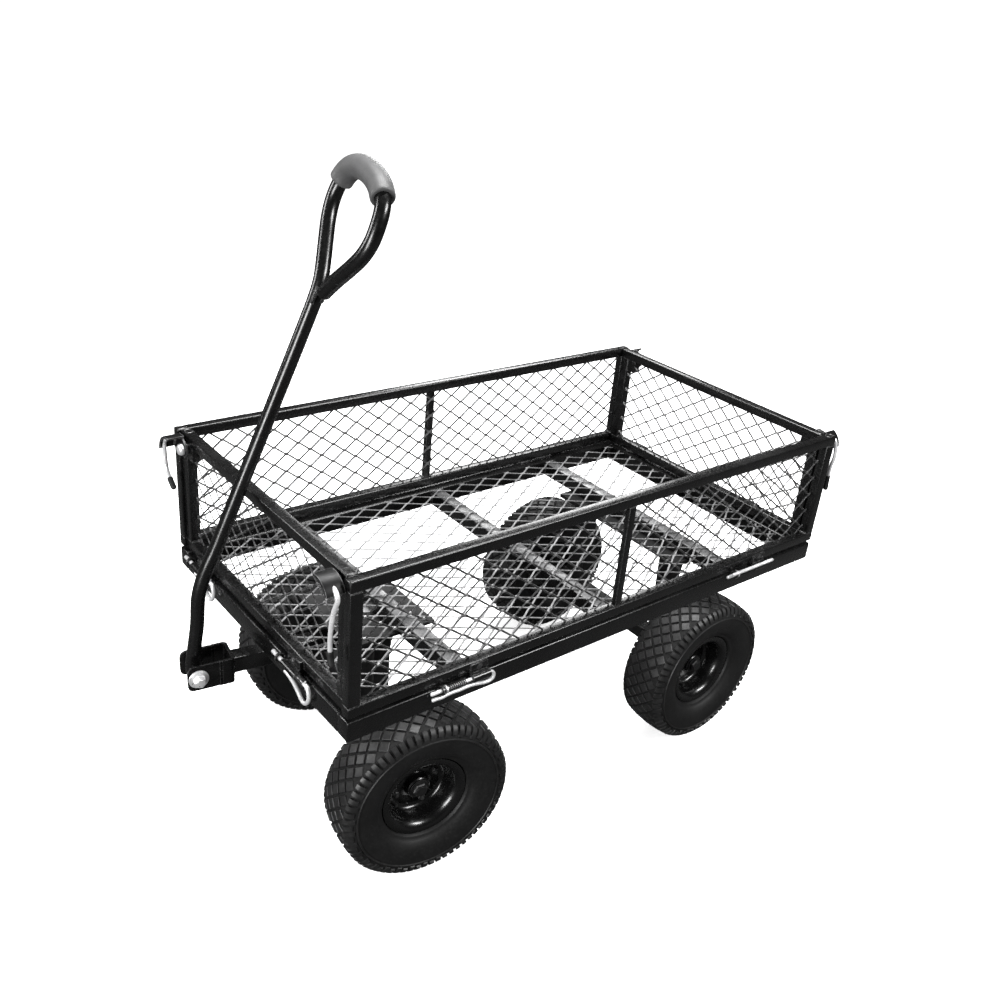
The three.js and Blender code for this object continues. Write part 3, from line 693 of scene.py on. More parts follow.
def side_frame():
    """Frame of the left panel."""
    outer, inner = HALF_WIDTH, HALF_WIDTH - PANEL_TUBE
    post_x = HALF_LENGTH - PANEL_POST
    frame = Shape().merge(
        box(-HALF_LENGTH, HALF_LENGTH, inner, outer, OPEN_TOP, PANEL_TOP),
        box(-HALF_LENGTH, HALF_LENGTH, inner, outer, PANEL_BOTTOM, OPEN_BOTTOM))
    for end in SIGNS:
        frame.merge(box(end * post_x, end * (HALF_LENGTH - 0.1), inner + 0.1, outer - 0.1,
                        OPEN_BOTTOM - 1, OPEN_TOP + 1))
    # middle bar and its beads
    frame.merge(box(0, 13, inner + 6.4, outer - 0.6, OPEN_BOTTOM - 1, OPEN_TOP + 1, 1.6, 2))
    for x in (-0.1, 13.1):
        for z in (395, 440, 486):
            frame.merge(bead((x, inner + 7.5, z - 3), (x, inner + 7.5, z + 3), 1.2,
                             seed=int(z + x)))
    for z in (OPEN_BOTTOM, OPEN_TOP):
        frame.merge(bead((1, outer - 1.2, z), (12, outer - 1.2, z), 1.3, seed=int(z)))
        for x, seed in ((-0.2, 3), (13.2, 4)):
            frame.merge(bead((x, inner + 7, z), (x, outer - 1.5, z), 1.3, seed=int(z) + seed))
        for end in SIGNS:
            frame.merge(
                bead((end * post_x, inner + 1, z), (end * post_x, outer - 1.5, z), 1.7,
                     seed=int(z + 50 * end)),
                bead((end * (HALF_LENGTH - 17), outer - 0.5, z),
                     (end * (HALF_LENGTH - 1.5), outer - 0.5, z), 1.0,
                     seed=int(z + 70 * end)))
    for end in SIGNS:
        frame.merge(plug(end * (HALF_LENGTH - PANEL_POST / 2), HALF_WIDTH - PANEL_TUBE / 2,
                         6.4, 5.0))
    # pin barrels on their plates
    for shift in SIDE_SHIFTS:
        start, stop = [x + shift for x in SIDE_BARREL]
        frame.merge(
            sleeve(PIN_BORE, 6.0, start, stop, "x", (0, SIDE_PIN_Y, PIN_Z)),
            box(start, 276 + shift, 251.2, 254.6, 343.5, 360, 1.0, 2),
            bead((249 + shift, 255.3, 346.2), (275 + shift, 255.3, 346.2), 1.5,
                 seed=int(300 + shift)))
        frame.merge(lathe(SIDE_STUD, 20, "y", (262 + shift, 254.3, 353.8), solid=True), slot=1)
    return frame


def side_mesh():
    reach = HALF_LENGTH - PANEL_POST - MESH_GAP
    return expanded((-reach, reach), MESH_HEIGHTS, PANEL_PITCH, (284.5, MESH_BOND_Z),
                    lambda u, v, height: (u, SIDE_MESH_Y + height, v))


def end_frame():
    """Frame of the front panel."""
    inner, outer, half = END_IN_X, END_OUT_X, END_HALF_WIDTH
    frame = Shape().merge(box(inner, outer, -half, half, OPEN_TOP, PANEL_TOP),
                          box(inner, outer, -half, half, PANEL_BOTTOM, OPEN_BOTTOM))
    for side in SIGNS:
        frame.merge(
            box(inner + 0.1, outer - 0.1, side * (half - PANEL_POST), side * (half - 0.1),
                OPEN_BOTTOM - 1, OPEN_TOP + 1),
            # corner block and the collar round the dome bolt
            box(inner + 1.5, outer - 0.5, side * (half - 37), side * (half - 15),
                503, OPEN_TOP + 2, 1.2, 2),
            lathe([(8.0, outer - 1.5), (8.0, outer + 3.4), (7.2, outer + 4.1),
                   (4.5, outer + 4.1), (4.5, outer - 1.5)], 28, "x",
                  (0, side * BOLT_Y, BOLT_Z)))
        y = side * (half - 18.2)
        for z in (OPEN_BOTTOM, 503.2):
            frame.merge(bead((inner + 1, y, z), (outer - 1, y, z), 1.6, seed=int(z + side)))
        frame.merge(plug(inner + PANEL_TUBE / 2, side * (half - PANEL_POST / 2), 5.0, 6.4))
    # pin barrels on their plates
    for shift in END_SHIFTS:
        start, stop = [y + shift for y in END_BARREL]
        frame.merge(
            sleeve(PIN_BORE, 6.0, start, stop, "y", (END_PIN_X, 0, PIN_Z)),
            box(outer - 1, 463.2, 103 + shift, 135 + shift, 343.5, 360, 1.0, 2),
            bead((463.6, 104 + shift, 346.5), (463.6, 134 + shift, 346.5), 1.5,
                 seed=int(400 + shift)))
        frame.merge(lathe(END_STUD, 20, "x", (463.0, 119 + shift, 354.2), solid=True), slot=1)
    return frame


def end_mesh():
    reach = END_HALF_WIDTH - PANEL_POST - MESH_GAP
    return expanded((-reach, reach), MESH_HEIGHTS, PANEL_PITCH, (0.0, MESH_BOND_Z),
                    lambda u, v, height: (END_MESH_X + height, u, v))


def panel(name, kind, body, frame, mesh):
    piece(f"{name}_{kind}_frame", frame, [BLACK, DARK_STEEL], body, "black_frame",
          name + "_panel_frame")
    piece(f"{name}_{kind}_expanded_mesh", mesh, [MESH_BLACK], body, "black_frame",
          name + "_panel_mesh", sharp=30)


for name, side in SIDES:
    panel(name, "side", name + "_side",
          side_frame().mirrored(y_sign=side), side_mesh().mirrored(y_sign=side))
for name, end in ENDS:
    panel(name, "end", "chassis" if end > 0 else "tail_side",
          end_frame().mirrored(x_sign=end), end_mesh().mirrored(x_sign=end))

# ---------------- spring latches ----------------
# bent ends of the latch rods: (minus the distance from the tip, offset from the pin axis)
SIDE_BEND_DOWN = [
    (-96, 0), (-100, -1.5), (-102.5, -6), (-101.5, -11), (-96, -14), (-88, -14), (-76, -11.5),
    (-66, -9.8), (-56, -9.5), (-46, -10), (-36, -9.4), (-26, -9.7), (-18, -10.9),
    (-10, -10.2), (-4, -10.2)]
SIDE_BEND_UP = [
    (-96, 0), (-100.5, 1.5), (-103.2, 6), (-101.5, 11), (-96, 13.2), (-86, 12.2), (-76, 10.4),
    (-66, 10.8), (-54, 9.6), (-44, 10.3), (-34, 9.4), (-26, 9.7), (-18, 10.9), (-10, 10.2),
    (-5, 10.2)]
END_BEND = [
    (-91, 0), (-95, -1.5), (-98, -7), (-98.5, -15), (-94, -24), (-87, -29.5), (-79, -28),
    (-69, -21), (-57, -14.5), (-46, -11.5), (-36, -10.5)]
SIDE_TIP_X, END_TIP_Y = 343, 70
SIDE_COLLAR, SIDE_COIL = (318.2, 320.6), (288.3, 317.9)  # x limits
END_COIL = (138.8, 158.5)  # y limits
COIL_RADIUS, COIL_WIRE = 4.25, 0.72
COIL_SOLID = 21  # what a side coil shortens by when its rod is pulled


def latch_rod(axis, tip, run, out, offset, bend, tilt, radius):
    """Rod from its tip in direction run along axis; tilt leans the bent end outwards."""
    def place(along, lift):
        across = offset + out * lift * sin(tilt)
        z = PIN_Z + lift * cos(tilt)
        where = tip - run * along
        return (where, across, z) if axis == "x" else (across, where, z)

    curve = smooth_curve([place(bend[0][0] + 4, 0)] + [place(*point) for point in bend], 6)
    straight = [place(along, 0) for along in (-1.5, -30, -60)]
    return domed_rod(straight + curve, radius, 16, up=(0, 0, 1))


def coil(axis, offset, start, end, turns):
    path = []
    steps = turns * 18
    for i in range(steps + 1):
        t = i / steps
        angle = 2 * pi * turns * t
        along = start + COIL_WIRE + (end - start - 2 * COIL_WIRE) * t
        across = offset + COIL_RADIUS * cos(angle)
        z = PIN_Z + COIL_RADIUS * sin(angle)
        path.append((along, across, z) if axis == "x" else (across, along, z))
    return sweep(path, COIL_WIRE, 8)


def latch_pieces(name, rod, spring, spring_body):
    piece(name + "_latch_wire", rod, [WIRE], name + "_latch", "zinc", name + "_latch_pin")
    return piece(name + "_latch_coil", spring, [SPRING], spring_body, "zinc",
                 name + "_latch_spring")


side_coils = []  # (object, joint, anchor, share of the length kept)


def side_latch(side_name, side, end_name, shift, bend, tilt, spring_body):
    name = f"{side_name}_{end_name}"
    y = side * SIDE_PIN_Y
    rod = latch_rod("x", SIDE_TIP_X + shift, -1, side, y, bend, tilt, 2.6)
    rod.merge(sleeve(2.9, 5.7, SIDE_COLLAR[0] + shift, SIDE_COLLAR[1] + shift, "x",
                     (0, y, PIN_Z), chamfer=(0.5, 0.5), segments=24))
    start, stop = [x + shift for x in SIDE_COIL]
    spring = latch_pieces(name, rod, coil("x", y, start, stop, turns=9), spring_body)
    anchor = ((start + SHIFT_X) / 1000, y / 1000, (PIN_Z + SHIFT_Z) / 1000)
    side_coils.append((spring, name + "_latch_pull", anchor,
                       (stop - start - COIL_SOLID) / (stop - start)))


def end_latch(end_name, end, side_name, shift):
    name = f"{end_name}_{side_name}"
    x = end * END_PIN_X
    rod = latch_rod("y", END_TIP_Y + shift, 1, end, x, END_BEND, 0.0, 3.0)
    start, stop = [y + shift for y in END_COIL]
    # cross pin that holds the coil's free end
    pin_y = stop + 0.8
    rod.merge(domed_rod([(x, pin_y, PIN_Z - 6.2), (x, pin_y, PIN_Z + 6.2)], 1.1, 8,
                        up=(1, 0, 0)))
    latch_pieces(name, rod, coil("y", x, start, stop, turns=7), name + "_latch")


for name, side in SIDES:
    side_latch(name, side, "front", SIDE_SHIFTS[0], SIDE_BEND_DOWN, 0.0, "chassis")
    side_latch(name, side, "rear", SIDE_SHIFTS[1], SIDE_BEND_UP, 0.75, name + "_side")
for name, end in ENDS:
    for side_name, shift in zip(("left", "right"), END_SHIFTS):
        end_latch(name, end, side_name, shift)

# ---------------- corner levers ----------------
# each lever: (first, last) angle of its hood, x of its rod, (y, z) of the rod, of the tip
LEVERS = {
    "left_front": (
        (1.78, 0.36), 474,
        [(234, 531.5), (242, 528), (246, 520), (241.5, 507), (236.6, 494.7), (232.4, 474),
         (230.6, 456.5), (230.8, 441)],
        [(230.8, 440.4), (232.2, 430.5), (236, 420.5)]),
    "right_front": (
        (1.78, 0.03), 479,
        [(233, 532), (241, 526), (242.6, 514), (241.5, 498), (239.5, 484), (234.5, 477),
         (229.4, 472.2)],
        [(229, 471.8), (221.5, 465.4), (214, 460)]),
    "rear": (
        (1.15, 0.03), 474,
        [(234, 532), (242.4, 528), (246.9, 516), (249, 500), (246.6, 484), (245.8, 464.8)],
        [(245.8, 464.2), (246.2, 450), (247.2, 438)]),
}
HOOD_Y, HOOD_Z = 217, 514  # axis of the hood's bend
HOOD_STEPS = 22
# (x, radius) of the bent strip, with a rolled lip on its outer edge
HOOD_SECTION = [
    (461.6, 28.0), (484.6, 28.0), (486.2, 27.6), (486.9, 26.6), (486.9, 24.8), (486.3, 24.1),
    (485.3, 24.1), (484.8, 24.7), (484.6, 25.4), (461.6, 25.4)]
# (x, scale about the plate's middle) of each layer of the plate
PLATE_LAYERS = ((461.6, 0.97), (462.1, 1.0), (464.1, 1.0), (464.6, 0.97))
PLATE_Y, PLATE_Z = 222, 524
# (radius, x)
DOME_BOLT = [
    (4.0, 448), (4.0, 465.0), (8.5, 465.1), (8.8, 465.5), (8.8, 467.6), (8.4, 469.2),
    (7.4, 470.8), (5.6, 472.0), (3.0, 472.8), (0.1, 473.0)]


def lever_hood(first, last):
    verts = []
    for i in range(HOOD_STEPS + 1):
        angle = first + (last - first) * i / HOOD_STEPS
        verts += [(x, HOOD_Y + radius * cos(angle), HOOD_Z + radius * sin(angle))
                  for x, radius in HOOD_SECTION]
    rings, size = HOOD_STEPS + 1, len(HOOD_SECTION)
    hood = Shape(verts, ring_quads(rings, size) + end_caps(rings, size))

    # back plate: an arc round the bolt, then one under the hood
    outline = [(BOLT_Y + 12 * cos(radians(angle)), BOLT_Z + 12 * sin(radians(angle)))
               for angle in range(120, 286, 15)]
    for i in range(15):
        angle = last + (1.66 - last) * i / 14
        outline.append((HOOD_Y + 26.4 * cos(angle), HOOD_Z + 26.4 * sin(angle)))
    verts = [(x, PLATE_Y + (y - PLATE_Y) * scale, PLATE_Z + (z - PLATE_Z) * scale)
             for x, scale in PLATE_LAYERS for y, z in outline]
    rings, size = len(PLATE_LAYERS), len(outline)
    return hood.merge(Shape(verts, end_caps(rings, size) + ring_quads(rings, size)),
                      bead((464.9, 239.5, 519), (464.9, 232, 533), 1.3, seed=3))


def lever_rod(x, points):
    path = smooth_curve([(x, y, z) for y, z in points], 7)
    return domed_rod(path, 3.1, 16, up=(1, 0, 0))


def lever_tip(x, points):
    path = smooth_curve([(x, y, z) for y, z in points], 8)
    radii = [3.9, 4.35, 4.35] + [4.2] * (len(path) - 6) + [4.1, 3.6, 2.6]
    return sweep(path, radii, 20, up=(1, 0, 0))


def corner_lever(side_name, side, end_name, end):
    corner = f"{side_name}_{end_name}"
    angles, x, rod_points, tip_points = LEVERS.get(corner) or LEVERS["rear"]
    name = corner + "_lever"
    arm = name + "_arm"
    bolt = lathe(DOME_BOLT, 32, "x", (0, BOLT_Y, BOLT_Z), solid=True)
    for suffix, shape, material, body, slot, replaces in (
            ("_hood", lever_hood(*angles), HOOD_BLACK, arm, "black_frame", name),
            ("_channel", lever_rod(x, rod_points), WIRE, arm, "zinc", None),
            ("_rubber", lever_tip(x, tip_points), TIP_RUBBER, arm, "tip_rubber",
             name + "_tip"),
            ("_dome_bolt", bolt, ZINC, "chassis" if end > 0 else "tail_side", "zinc",
             name + "_bolt")):
        piece(name + suffix, shape.mirrored(end, side), [material], body, slot, replaces)


for side_name, side in SIDES:
    for end_name, end in ENDS:
        corner_lever(side_name, side, end_name, end)

# ---------------- wheels ----------------
# half of the tyre's section: (radius, distance from the middle plane)
TYRE_HALF = [
    (52.8, 20.5), (58, 21.8), (63.5, 22.7), (65.2, 24.2), (66.0, 27.0), (67.6, 29.6),
    (69.8, 30.6), (71.8, 31.4), (73.4, 33.0), (78, 36.3), (84, 39.0), (92, 41.0), (100, 42.0),
    (106, 42.0), (107.0, 42.1), (107.6, 43.4), (108.8, 43.5), (109.5, 42.1), (110.6, 41.6),
    (115, 40.6), (119, 38.6), (122.5, 36.0), (124.6, 33.6), (125.6, 31), (126.3, 24),
    (126.7, 12), (126.8, 0)]
TREAD_BLOCKS = 34
TREAD_LIMIT = 34.6  # half-width of the blocks' band
# (distance from the middle plane, shift round the tyre in blocks)
TREAD_ROWS = [(0, 0.0), (12.0, 0.5), (-12.0, 0.5), (24.0, 0.0), (-24.0, 0.0)]
BLOCK_SHARE = 1 - 2 * 0.115  # of the pitch; the grooves take the rest
# corners of a block: (share of its half-length round the tyre, share of its half-width)
DIAMOND = [(1, 0), (0.5, 0.5), (0, 1), (-0.5, 0.5), (-1, 0), (-0.5, -0.5), (0, -1), (0.5, -0.5)]
BLOCK_LAYERS = ((1.04, -4.6), (1.0, -0.7), (0.90, 0.0))  # (scale, height from the tread)
# shoulder lug stations: (radius, distance out) at the root, then at the top
SHOULDER = [
    (125.9, 33.0, 127.2, 34.4), (122.9, 36.0, 124.9, 38.0), (119.2, 38.7, 120.9, 41.0),
    (115.2, 40.6, 116.2, 42.7), (112.6, 41.4, 112.9, 42.9)]


def polar(angle, y, radius):
    return (radius * sin(angle), y, radius * cos(angle))


def tread_radius(y):
    inner = min(abs(y), 22)
    outer = max(abs(y) - 22, 0)
    return TYRE_RADIUS - 0.9 * (inner / 20.0) ** 2 - 0.12 * outer - 0.013 * outer ** 2


def carcass():
    profile = TYRE_HALF + [(radius, -y) for radius, y in reversed(TYRE_HALF[:-1])]
    tyre = lathe(profile, 120)

    def slot(i):
        """0 tread rubber, also on the sidewall ring as a painted highlight; 1 sidewall; 2
        groove floor, painted near black as shade.
        """
        low, high = sorted((profile[i][0], profile[(i + 1) % len(profile)][0]))
        # the crown under the blocks and lugs, seen in the grooves, gets painted shade
        if low >= 118:
            return 2
        # the moulded ring gets the lighter tread rubber as a painted highlight
        if low >= 106.9 and high <= 109.6:
            return 0
        return 1 if high > 60 else 0

    tyre.slots = [slot(i % len(profile)) for i in range(len(tyre.faces))]
    return tyre


def tread_block(angle, middle):
    pitch = 2 * pi / TREAD_BLOCKS
    half_angle, half_width = pitch / 2 * BLOCK_SHARE, 12.0 * BLOCK_SHARE
    verts = []
    for scale, height in BLOCK_LAYERS:
        for around, across in DIAMOND:
            y = max(-TREAD_LIMIT, min(TREAD_LIMIT, middle + half_width * across))
            y = middle + (y - middle) * scale
            verts.append(polar(angle + half_angle * around * scale, y,
                               tread_radius(y) + height))
    verts.append(polar(angle, middle, tread_radius(middle)))
    faces = ring_quads(3, 8) + [(16 + j, 16 + (j + 1) % 8, 24) for j in range(8)]
    return Shape(verts, faces + [tuple(range(7, -1, -1))])


def shoulder_lug(angle, side, half_angle, stations):
    verts = []
    for i, (root_radius, root_y, top_radius, top_y) in enumerate(stations):
        top_angle = half_angle * 0.82 * (0.9 if i in (0, len(stations) - 1) else 1.0)
        root = (side * (root_y - 1.0), root_radius - 1.5)
        top = (side * top_y, top_radius)
        verts += [polar(angle - half_angle, *root), polar(angle - top_angle, *top),
                  polar(angle + top_angle, *top), polar(angle + half_angle, *root)]
    return Shape(verts, ring_quads(len(stations), 4) + end_caps(len(stations), 4))


def moulding_nubs():
    nubs = Shape()
    rng = random.Random(5)
    for side in SIGNS:
        for i in range(26):
            angle = 2 * pi * (i + rng.random() * 0.5) / 26
            radius = rng.uniform(84, 103)
            y = 39.0 + (radius - 84) / 8 * 1.35 if radius < 100 else 41.9
            ends = [polar(angle, side * (y + out), radius) for out in (-0.8, 0.7)]
            nubs.merge(domed_rod(ends, 0.65, 6, up=(1, 0, 0)))
    return nubs


def tyre_shape():
    tyre = carcass()
    for middle, shift in TREAD_ROWS:
        for i in range(TREAD_BLOCKS):
            tyre.merge(tread_block((i + shift) * 2 * pi / TREAD_BLOCKS, middle))
    pitch = 2 * pi / (2 * TREAD_BLOCKS)
    for side in SIGNS:
        for i in range(2 * TREAD_BLOCKS):
            stations = SHOULDER if i % 2 == 0 else SHOULDER[:4]
            tyre.merge(shoulder_lug((i + 0.25) * pitch, side, pitch * 0.36, stations))
    return tyre.merge(moulding_nubs())


# section of the rim: (radius, distance from the middle plane, outwards)
RIM_PROFILE = [
    (8.5, 6.0), (9.5, 7.5), (15.6, 7.5), (17, 6.2), (17, -0.5), (18.2, -4.0), (21, -6.4),
    (27, -7.4), (37, -7.9), (42.5, -6.8), (45.4, -3.4), (46.6, 2), (47.2, 10), (48.2, 16.5),
    (50.6, 21.6), (54.2, 24.9), (58.2, 26.6), (61.6, 27.2), (63.9, 26.8), (64.8, 25.4),
    (64.4, 23.9), (62.4, 23.1), (57, 22.4), (53.4, 20), (51.6, 15), (50.6, 5), (50.6, -15),
    (53, -20.8), (57, -22.5), (62.6, -23), (64.7, -24.2), (64.6, -26.2), (62, -27.1),
    (57, -26.4), (51, -23), (48.6, -17), (47.6, -12), (45, -10.6), (38, -10.3), (20, -9.9),
    (17, -12), (17, -30), (8.5, -30)]
HOLE_CIRCLE = 32  # radius of the circle of kidney holes and bolts
HOLE_RADIUS, HOLE_SPREAD = 7.6, 0.16  # mm; radians to each side of the middle


def kidney_cutter(middle):
    outline = []
    for spread, start in ((-HOLE_SPREAD, pi), (HOLE_SPREAD, 0)):
        for i in range(13):
            angle = middle + spread + start + pi * i / 12
            outline.append(
                (HOLE_CIRCLE * sin(middle + spread) + HOLE_RADIUS * sin(angle),
                 HOLE_CIRCLE * cos(middle + spread) + HOLE_RADIUS * cos(angle)))
    # order the outline round its own centre
    x0, _, z0 = polar(middle, 0, HOLE_CIRCLE)
    outline.sort(key=lambda point: math.atan2(point[1] - z0, point[0] - x0))
    size = len(outline)
    faces = [tuple(range(size)), tuple(range(2 * size - 1, size - 1, -1))]
    faces += [(j, size + j, size + (j + 1) % size, (j + 1) % size) for j in range(size)]
    return Shape([(x, y, z) for y in (-8.9, 4) for x, z in outline], faces)


def temporary_object(name, shape):
    mesh = bpy.data.meshes.new(name)
    mesh.from_pydata(shape.verts, [], shape.faces)
    recalc_normals(mesh)
    return link_object(name, mesh)


def rim_shape():
    rim = temporary_object("rim_tmp", lathe(RIM_PROFILE, 96))
    cutter = temporary_object(
        "cut_tmp", Shape().merge(*[kidney_cutter(pi / 4 + i * pi / 2) for i in range(4)]))
    cut = rim.modifiers.new("b", "BOOLEAN")
    cut.object = cutter
    cut.operation = "DIFFERENCE"
    cut.solver = "EXACT"
    mesh = rim.evaluated_get(bpy.context.evaluated_depsgraph_get()).to_mesh()
    result = Shape([vert.co for vert in mesh.vertices],
                   [tuple(face.vertices) for face in mesh.polygons])
    bpy.data.objects.remove(rim)
    bpy.data.objects.remove(cutter)

    # wheel bolts between the holes
    for i in range(4):
        angle = i * pi / 2
        result.merge(disc(polar(angle, -7.8, HOLE_CIRCLE), 6.6, 1.0, 24, 0.3), slot=0)
        result.merge(hex_head(polar(angle, -6.8, HOLE_CIRCLE), 5.4, 4.2, 0.3 + angle),
                     disc(polar(angle, -2.8, HOLE_CIRCLE), 2.9, 3.2, 16, 0.5), slot=1)
    # valve stem
    angle = pi / 4 + 0.75
    root = Vector(polar(angle, -1, 44))
    stem = Vector(polar(angle, 15, 39.5)) - root
    path = [root + stem * share for share in (0, 0.25, 0.3, 0.8, 0.83, 1)]
    return result.merge(sweep(path, [4.6, 4.2, 2.9, 2.7, 3.2, 2.8], 16), slot=2)


def axle_nut():
    return Shape().merge(disc((0, 7.7, 0), 14.2, 1.2, 36, 0.3),
                         hex_head((0, 8.8, 0), 11.8, 5.4, 0.2),
                         disc((0, 13.6, 0), 8.6, 2.4, 28, 0.8))


tyre, rim = tyre_shape(), rim_shape()
REAR_AXLE = Matrix.Translation((REAR_AXLE_X, 0, 0))
# name, axle, side, turn about the axle, what the nut rides on
for name, axle, side, spin, nut_body in (
        ("front_left", STEER, 1, 0.35, "steering"),
        ("front_right", STEER, -1, 1.1, "steering"),
        ("rear_left", REAR_AXLE, 1, 0.9, "chassis"),
        ("rear_right", REAR_AXLE, -1, 0.2, "chassis")):
    place = (axle @ Matrix.Translation((0, side * WHEEL_Y, TYRE_RADIUS))
             @ Matrix.Rotation(0 if side > 0 else pi, 4, "Z") @ Matrix.Rotation(spin, 4, "Y"))
    body = name + "_wheel"
    piece(name + "_tyre_tread", tyre, [TYRE, SIDEWALL, GROOVE_SHADE], body, "tyre", name + "_tyre",
          sharp=32, place=place)
    piece(name + "_rim_pressed", rim, [RIM_BLACK, DARK_STEEL, TIP_RUBBER], body, "rim",
          name + "_rim", sharp=40, place=place)
    piece(name + "_axle_nut_and_washer", axle_nut(), [UNDER_BLACK], nut_body, "black_frame",
          name + "_axle_nut", place=place)

# ---------------- drawbar and its bracket (x from the steering axis) ----------------
EAR_OUTLINE = [  # (x, z)
    (222, 248), (262, 248), (266.2, 248.9), (269.2, 251.2), (270.6, 255), (271, 262),
    (271, 275), (270.4, 281), (268, 285.2), (263.8, 287.4), (258, 288), (222, 288)]
EAR_OUT_Y, EAR_IN_Y = 23, 19
PIVOT_X, PIVOT_Z = 256, 268
PIVOT = (PIVOT_X, 0, PIVOT_Z)


def ear_plate(start, end):
    """Upright plate between two y limits; its faces are drawn in from the edge."""
    chamfer = 0.7
    verts = [(x + (240 - x) * inset * 0.03, y, z + (268 - z) * inset * 0.05)
             for y, inset in ((start, 1), (start + chamfer, 0), (end - chamfer, 0), (end, 1))
             for x, z in EAR_OUTLINE]
    size = len(EAR_OUTLINE)
    return Shape(verts, end_caps(4, size) + ring_quads(4, size))


def bracket_channel():
    """The bent back of the bracket, joining both ears."""
    def bend(inset, radius):
        angles = [pi / 2 * (1 - i / 6) for i in range(7)]
        return [(204.6 + inset + radius - radius * cos(angle),
                 EAR_OUT_Y - inset - radius + radius * sin(angle)) for angle in angles]

    def through(half):
        """Carry the left half of a line on through to the right."""
        return half + [(x, -y) for x, y in reversed(half)]

    plan = (through([(226, EAR_OUT_Y)] + bend(0, 6.0))
            + through([(226, EAR_IN_Y)] + bend(EAR_OUT_Y - EAR_IN_Y, 2.0))[::-1])
    size = len(plan)
    faces = ring_quads(2, size)
    for i in range(size // 2 - 1):
        faces += [(i, size - 1 - i, size - 2 - i, i + 1),
                  (size + i, size + i + 1, 2 * size - 2 - i, 2 * size - 1 - i)]
    return Shape([(x, y, z) for z in (248.05, 287.95) for x, y in plan], faces)


drawbar = box(25.6, 206, -12.5, 12.5, 255, 280, 2.6)
drawbar.merge(ear_plate(EAR_IN_Y, EAR_OUT_Y), ear_plate(-EAR_OUT_Y, -EAR_IN_Y),
              bracket_channel())
for y in (-12.8, 12.8):
    drawbar.merge(bead((204, y, 256), (204, y, 279), 2.2, seed=int(y + 60)))
for z, seed in ((280.5, 77), (254.6, 78)):
    drawbar.merge(bead((204, -12, z), (204, 12, z), 2.2, seed=seed))
piece("drawbar_and_bracket", drawbar, [BLACK], "steering", "black_frame", "drawbar",
      place=STEER)

# ---------------- handle ----------------
LEAN = math.tan(radians(4))  # sideways lean of the stem
HANDLE_RADIUS = 9.5
# direction of the upper stem, and of the loop's width
STEM_UP = Vector((-0.35322, 0.06526, 0.93326)).normalized()
LOOP_ACROSS = Vector((0.0231, 0.99787, -0.061035)).normalized()
# the flattened end and its widening to the round tube: (x, z, half-width in x, in y)
FLAT_END = [
    (256, 257.0, 4.5, 4.2), (256, 258.2, 7.6, 6.0), (256, 261.5, 10.6, 7.2),
    (256, 267, 11.8, 7.4), (256, 276, 11.9, 7.4), (255.9, 285, 11.6, 7.6),
    (255.6, 294, 10.9, 8.6), (255, 303, 10.1, 9.5)]
LOWER_STEM = [(254, 315), (250.2, 345), (246.6, 395), (236.5, 430)]  # (x, z)
# the loop: (distance up the stem, distance across)
LOOP = [
    (362, -1), (383.5, -6), (403.9, -18.6), (425.1, -33.7), (446.6, -48.5), (462.6, -55.8),
    (478, -58.5), (495, -56), (505, -51), (514.8, -41), (521.5, -23.7), (524, 1),
    (521.5, 28.6), (515.5, 51), (507, 67), (495.6, 76), (478.5, 81.1), (459.1, 81.8),
    (440.3, 74.8), (418.1, 56.7), (396.9, 36), (380.2, 21.5), (368, 12.5)]
GRIPPED = LOOP[7:15]
# one end of the grip: (distance from the end, radius), from inside the bore outwards
GRIP_END = [
    (9, 10.0), (0.6, 10.0), (0.15, 11.2), (0.0, 12.4), (0.15, 13.6), (0.8, 14.4), (2.0, 14.8)]
GRIP_RADIUS, GRIP_STATIONS = 14.9, 54


def stem_point(x, z):
    return Vector((x, (z - PIVOT_Z) * LEAN, z))


STEM_BASE = stem_point(222.6, 462.5)


def loop_point(up, across):
    return STEM_BASE + STEM_UP * up + LOOP_ACROSS * across


def handle_tube():
    points = [stem_point(x, z) for x, z in LOWER_STEM]
    points += [loop_point(up, across)
               for up, across in [(0, 0), (60, 0), (200, 0), (320, 0)] + LOOP]
    # the tube stops four steps short, where it meets the stem
    path = smooth_curve(points, 6)[:-4]
    radii = [(along, across) for _, _, along, across in FLAT_END]
    radii += [HANDLE_RADIUS] * (len(path) + 1) + [8.8, 6.2, 2.6]
    end = path[-1]
    ahead = (end - path[-2]).normalized()
    path = ([stem_point(x, z) for x, z, _, _ in FLAT_END] + path
            + [end + ahead * reach for reach in (2.5, 5.2, 7.0, 7.9)])
    tube = sweep(path, radii, 26, up=(1, 0, 0))
    # welds that close the loop on the stem
    for side in SIGNS:
        tube.merge(bead(loop_point(356, 7.6) + Vector((side * 6.4, 0, 0)),
                        loop_point(379, 9.6) + Vector((side * 6.0, 0, 0)), 2.3,
                        seed=5 + side))
    return tube.merge(sleeve(5.4, 9.2, -17.5, 17.5, "y", PIVOT))


def grip_sleeve():
    path = smooth_curve([loop_point(up, across) for up, across in GRIPPED], 6)
    lengths = [0.0]
    for a, b in zip(path, path[1:]):
        lengths.append(lengths[-1] + (b - a).length)
    total = lengths[-1]

    def point_at(distance):
        distance = max(0, min(total, distance))
        i = next(i for i in range(len(path) - 1) if lengths[i + 1] >= distance)
        share = (distance - lengths[i]) / (lengths[i + 1] - lengths[i])
        return path[i].lerp(path[i + 1], share)

    stations = GRIP_END + [(2 + (total - 4) * (i + 1) / (GRIP_STATIONS + 1), GRIP_RADIUS)
                           for i in range(GRIP_STATIONS)]
    stations += [(total - distance, radius) for distance, radius in reversed(GRIP_END)]
    # directions come from the curve, so stations that step back don't turn the section
    tangents = [(point_at(distance + 1.5) - point_at(distance - 1.5)).normalized()
                for distance, _ in stations]
    return sweep([point_at(distance) for distance, _ in stations],
                 [radius for _, radius in stations], 40, up=(1, 0, 0), tangents=tangents)


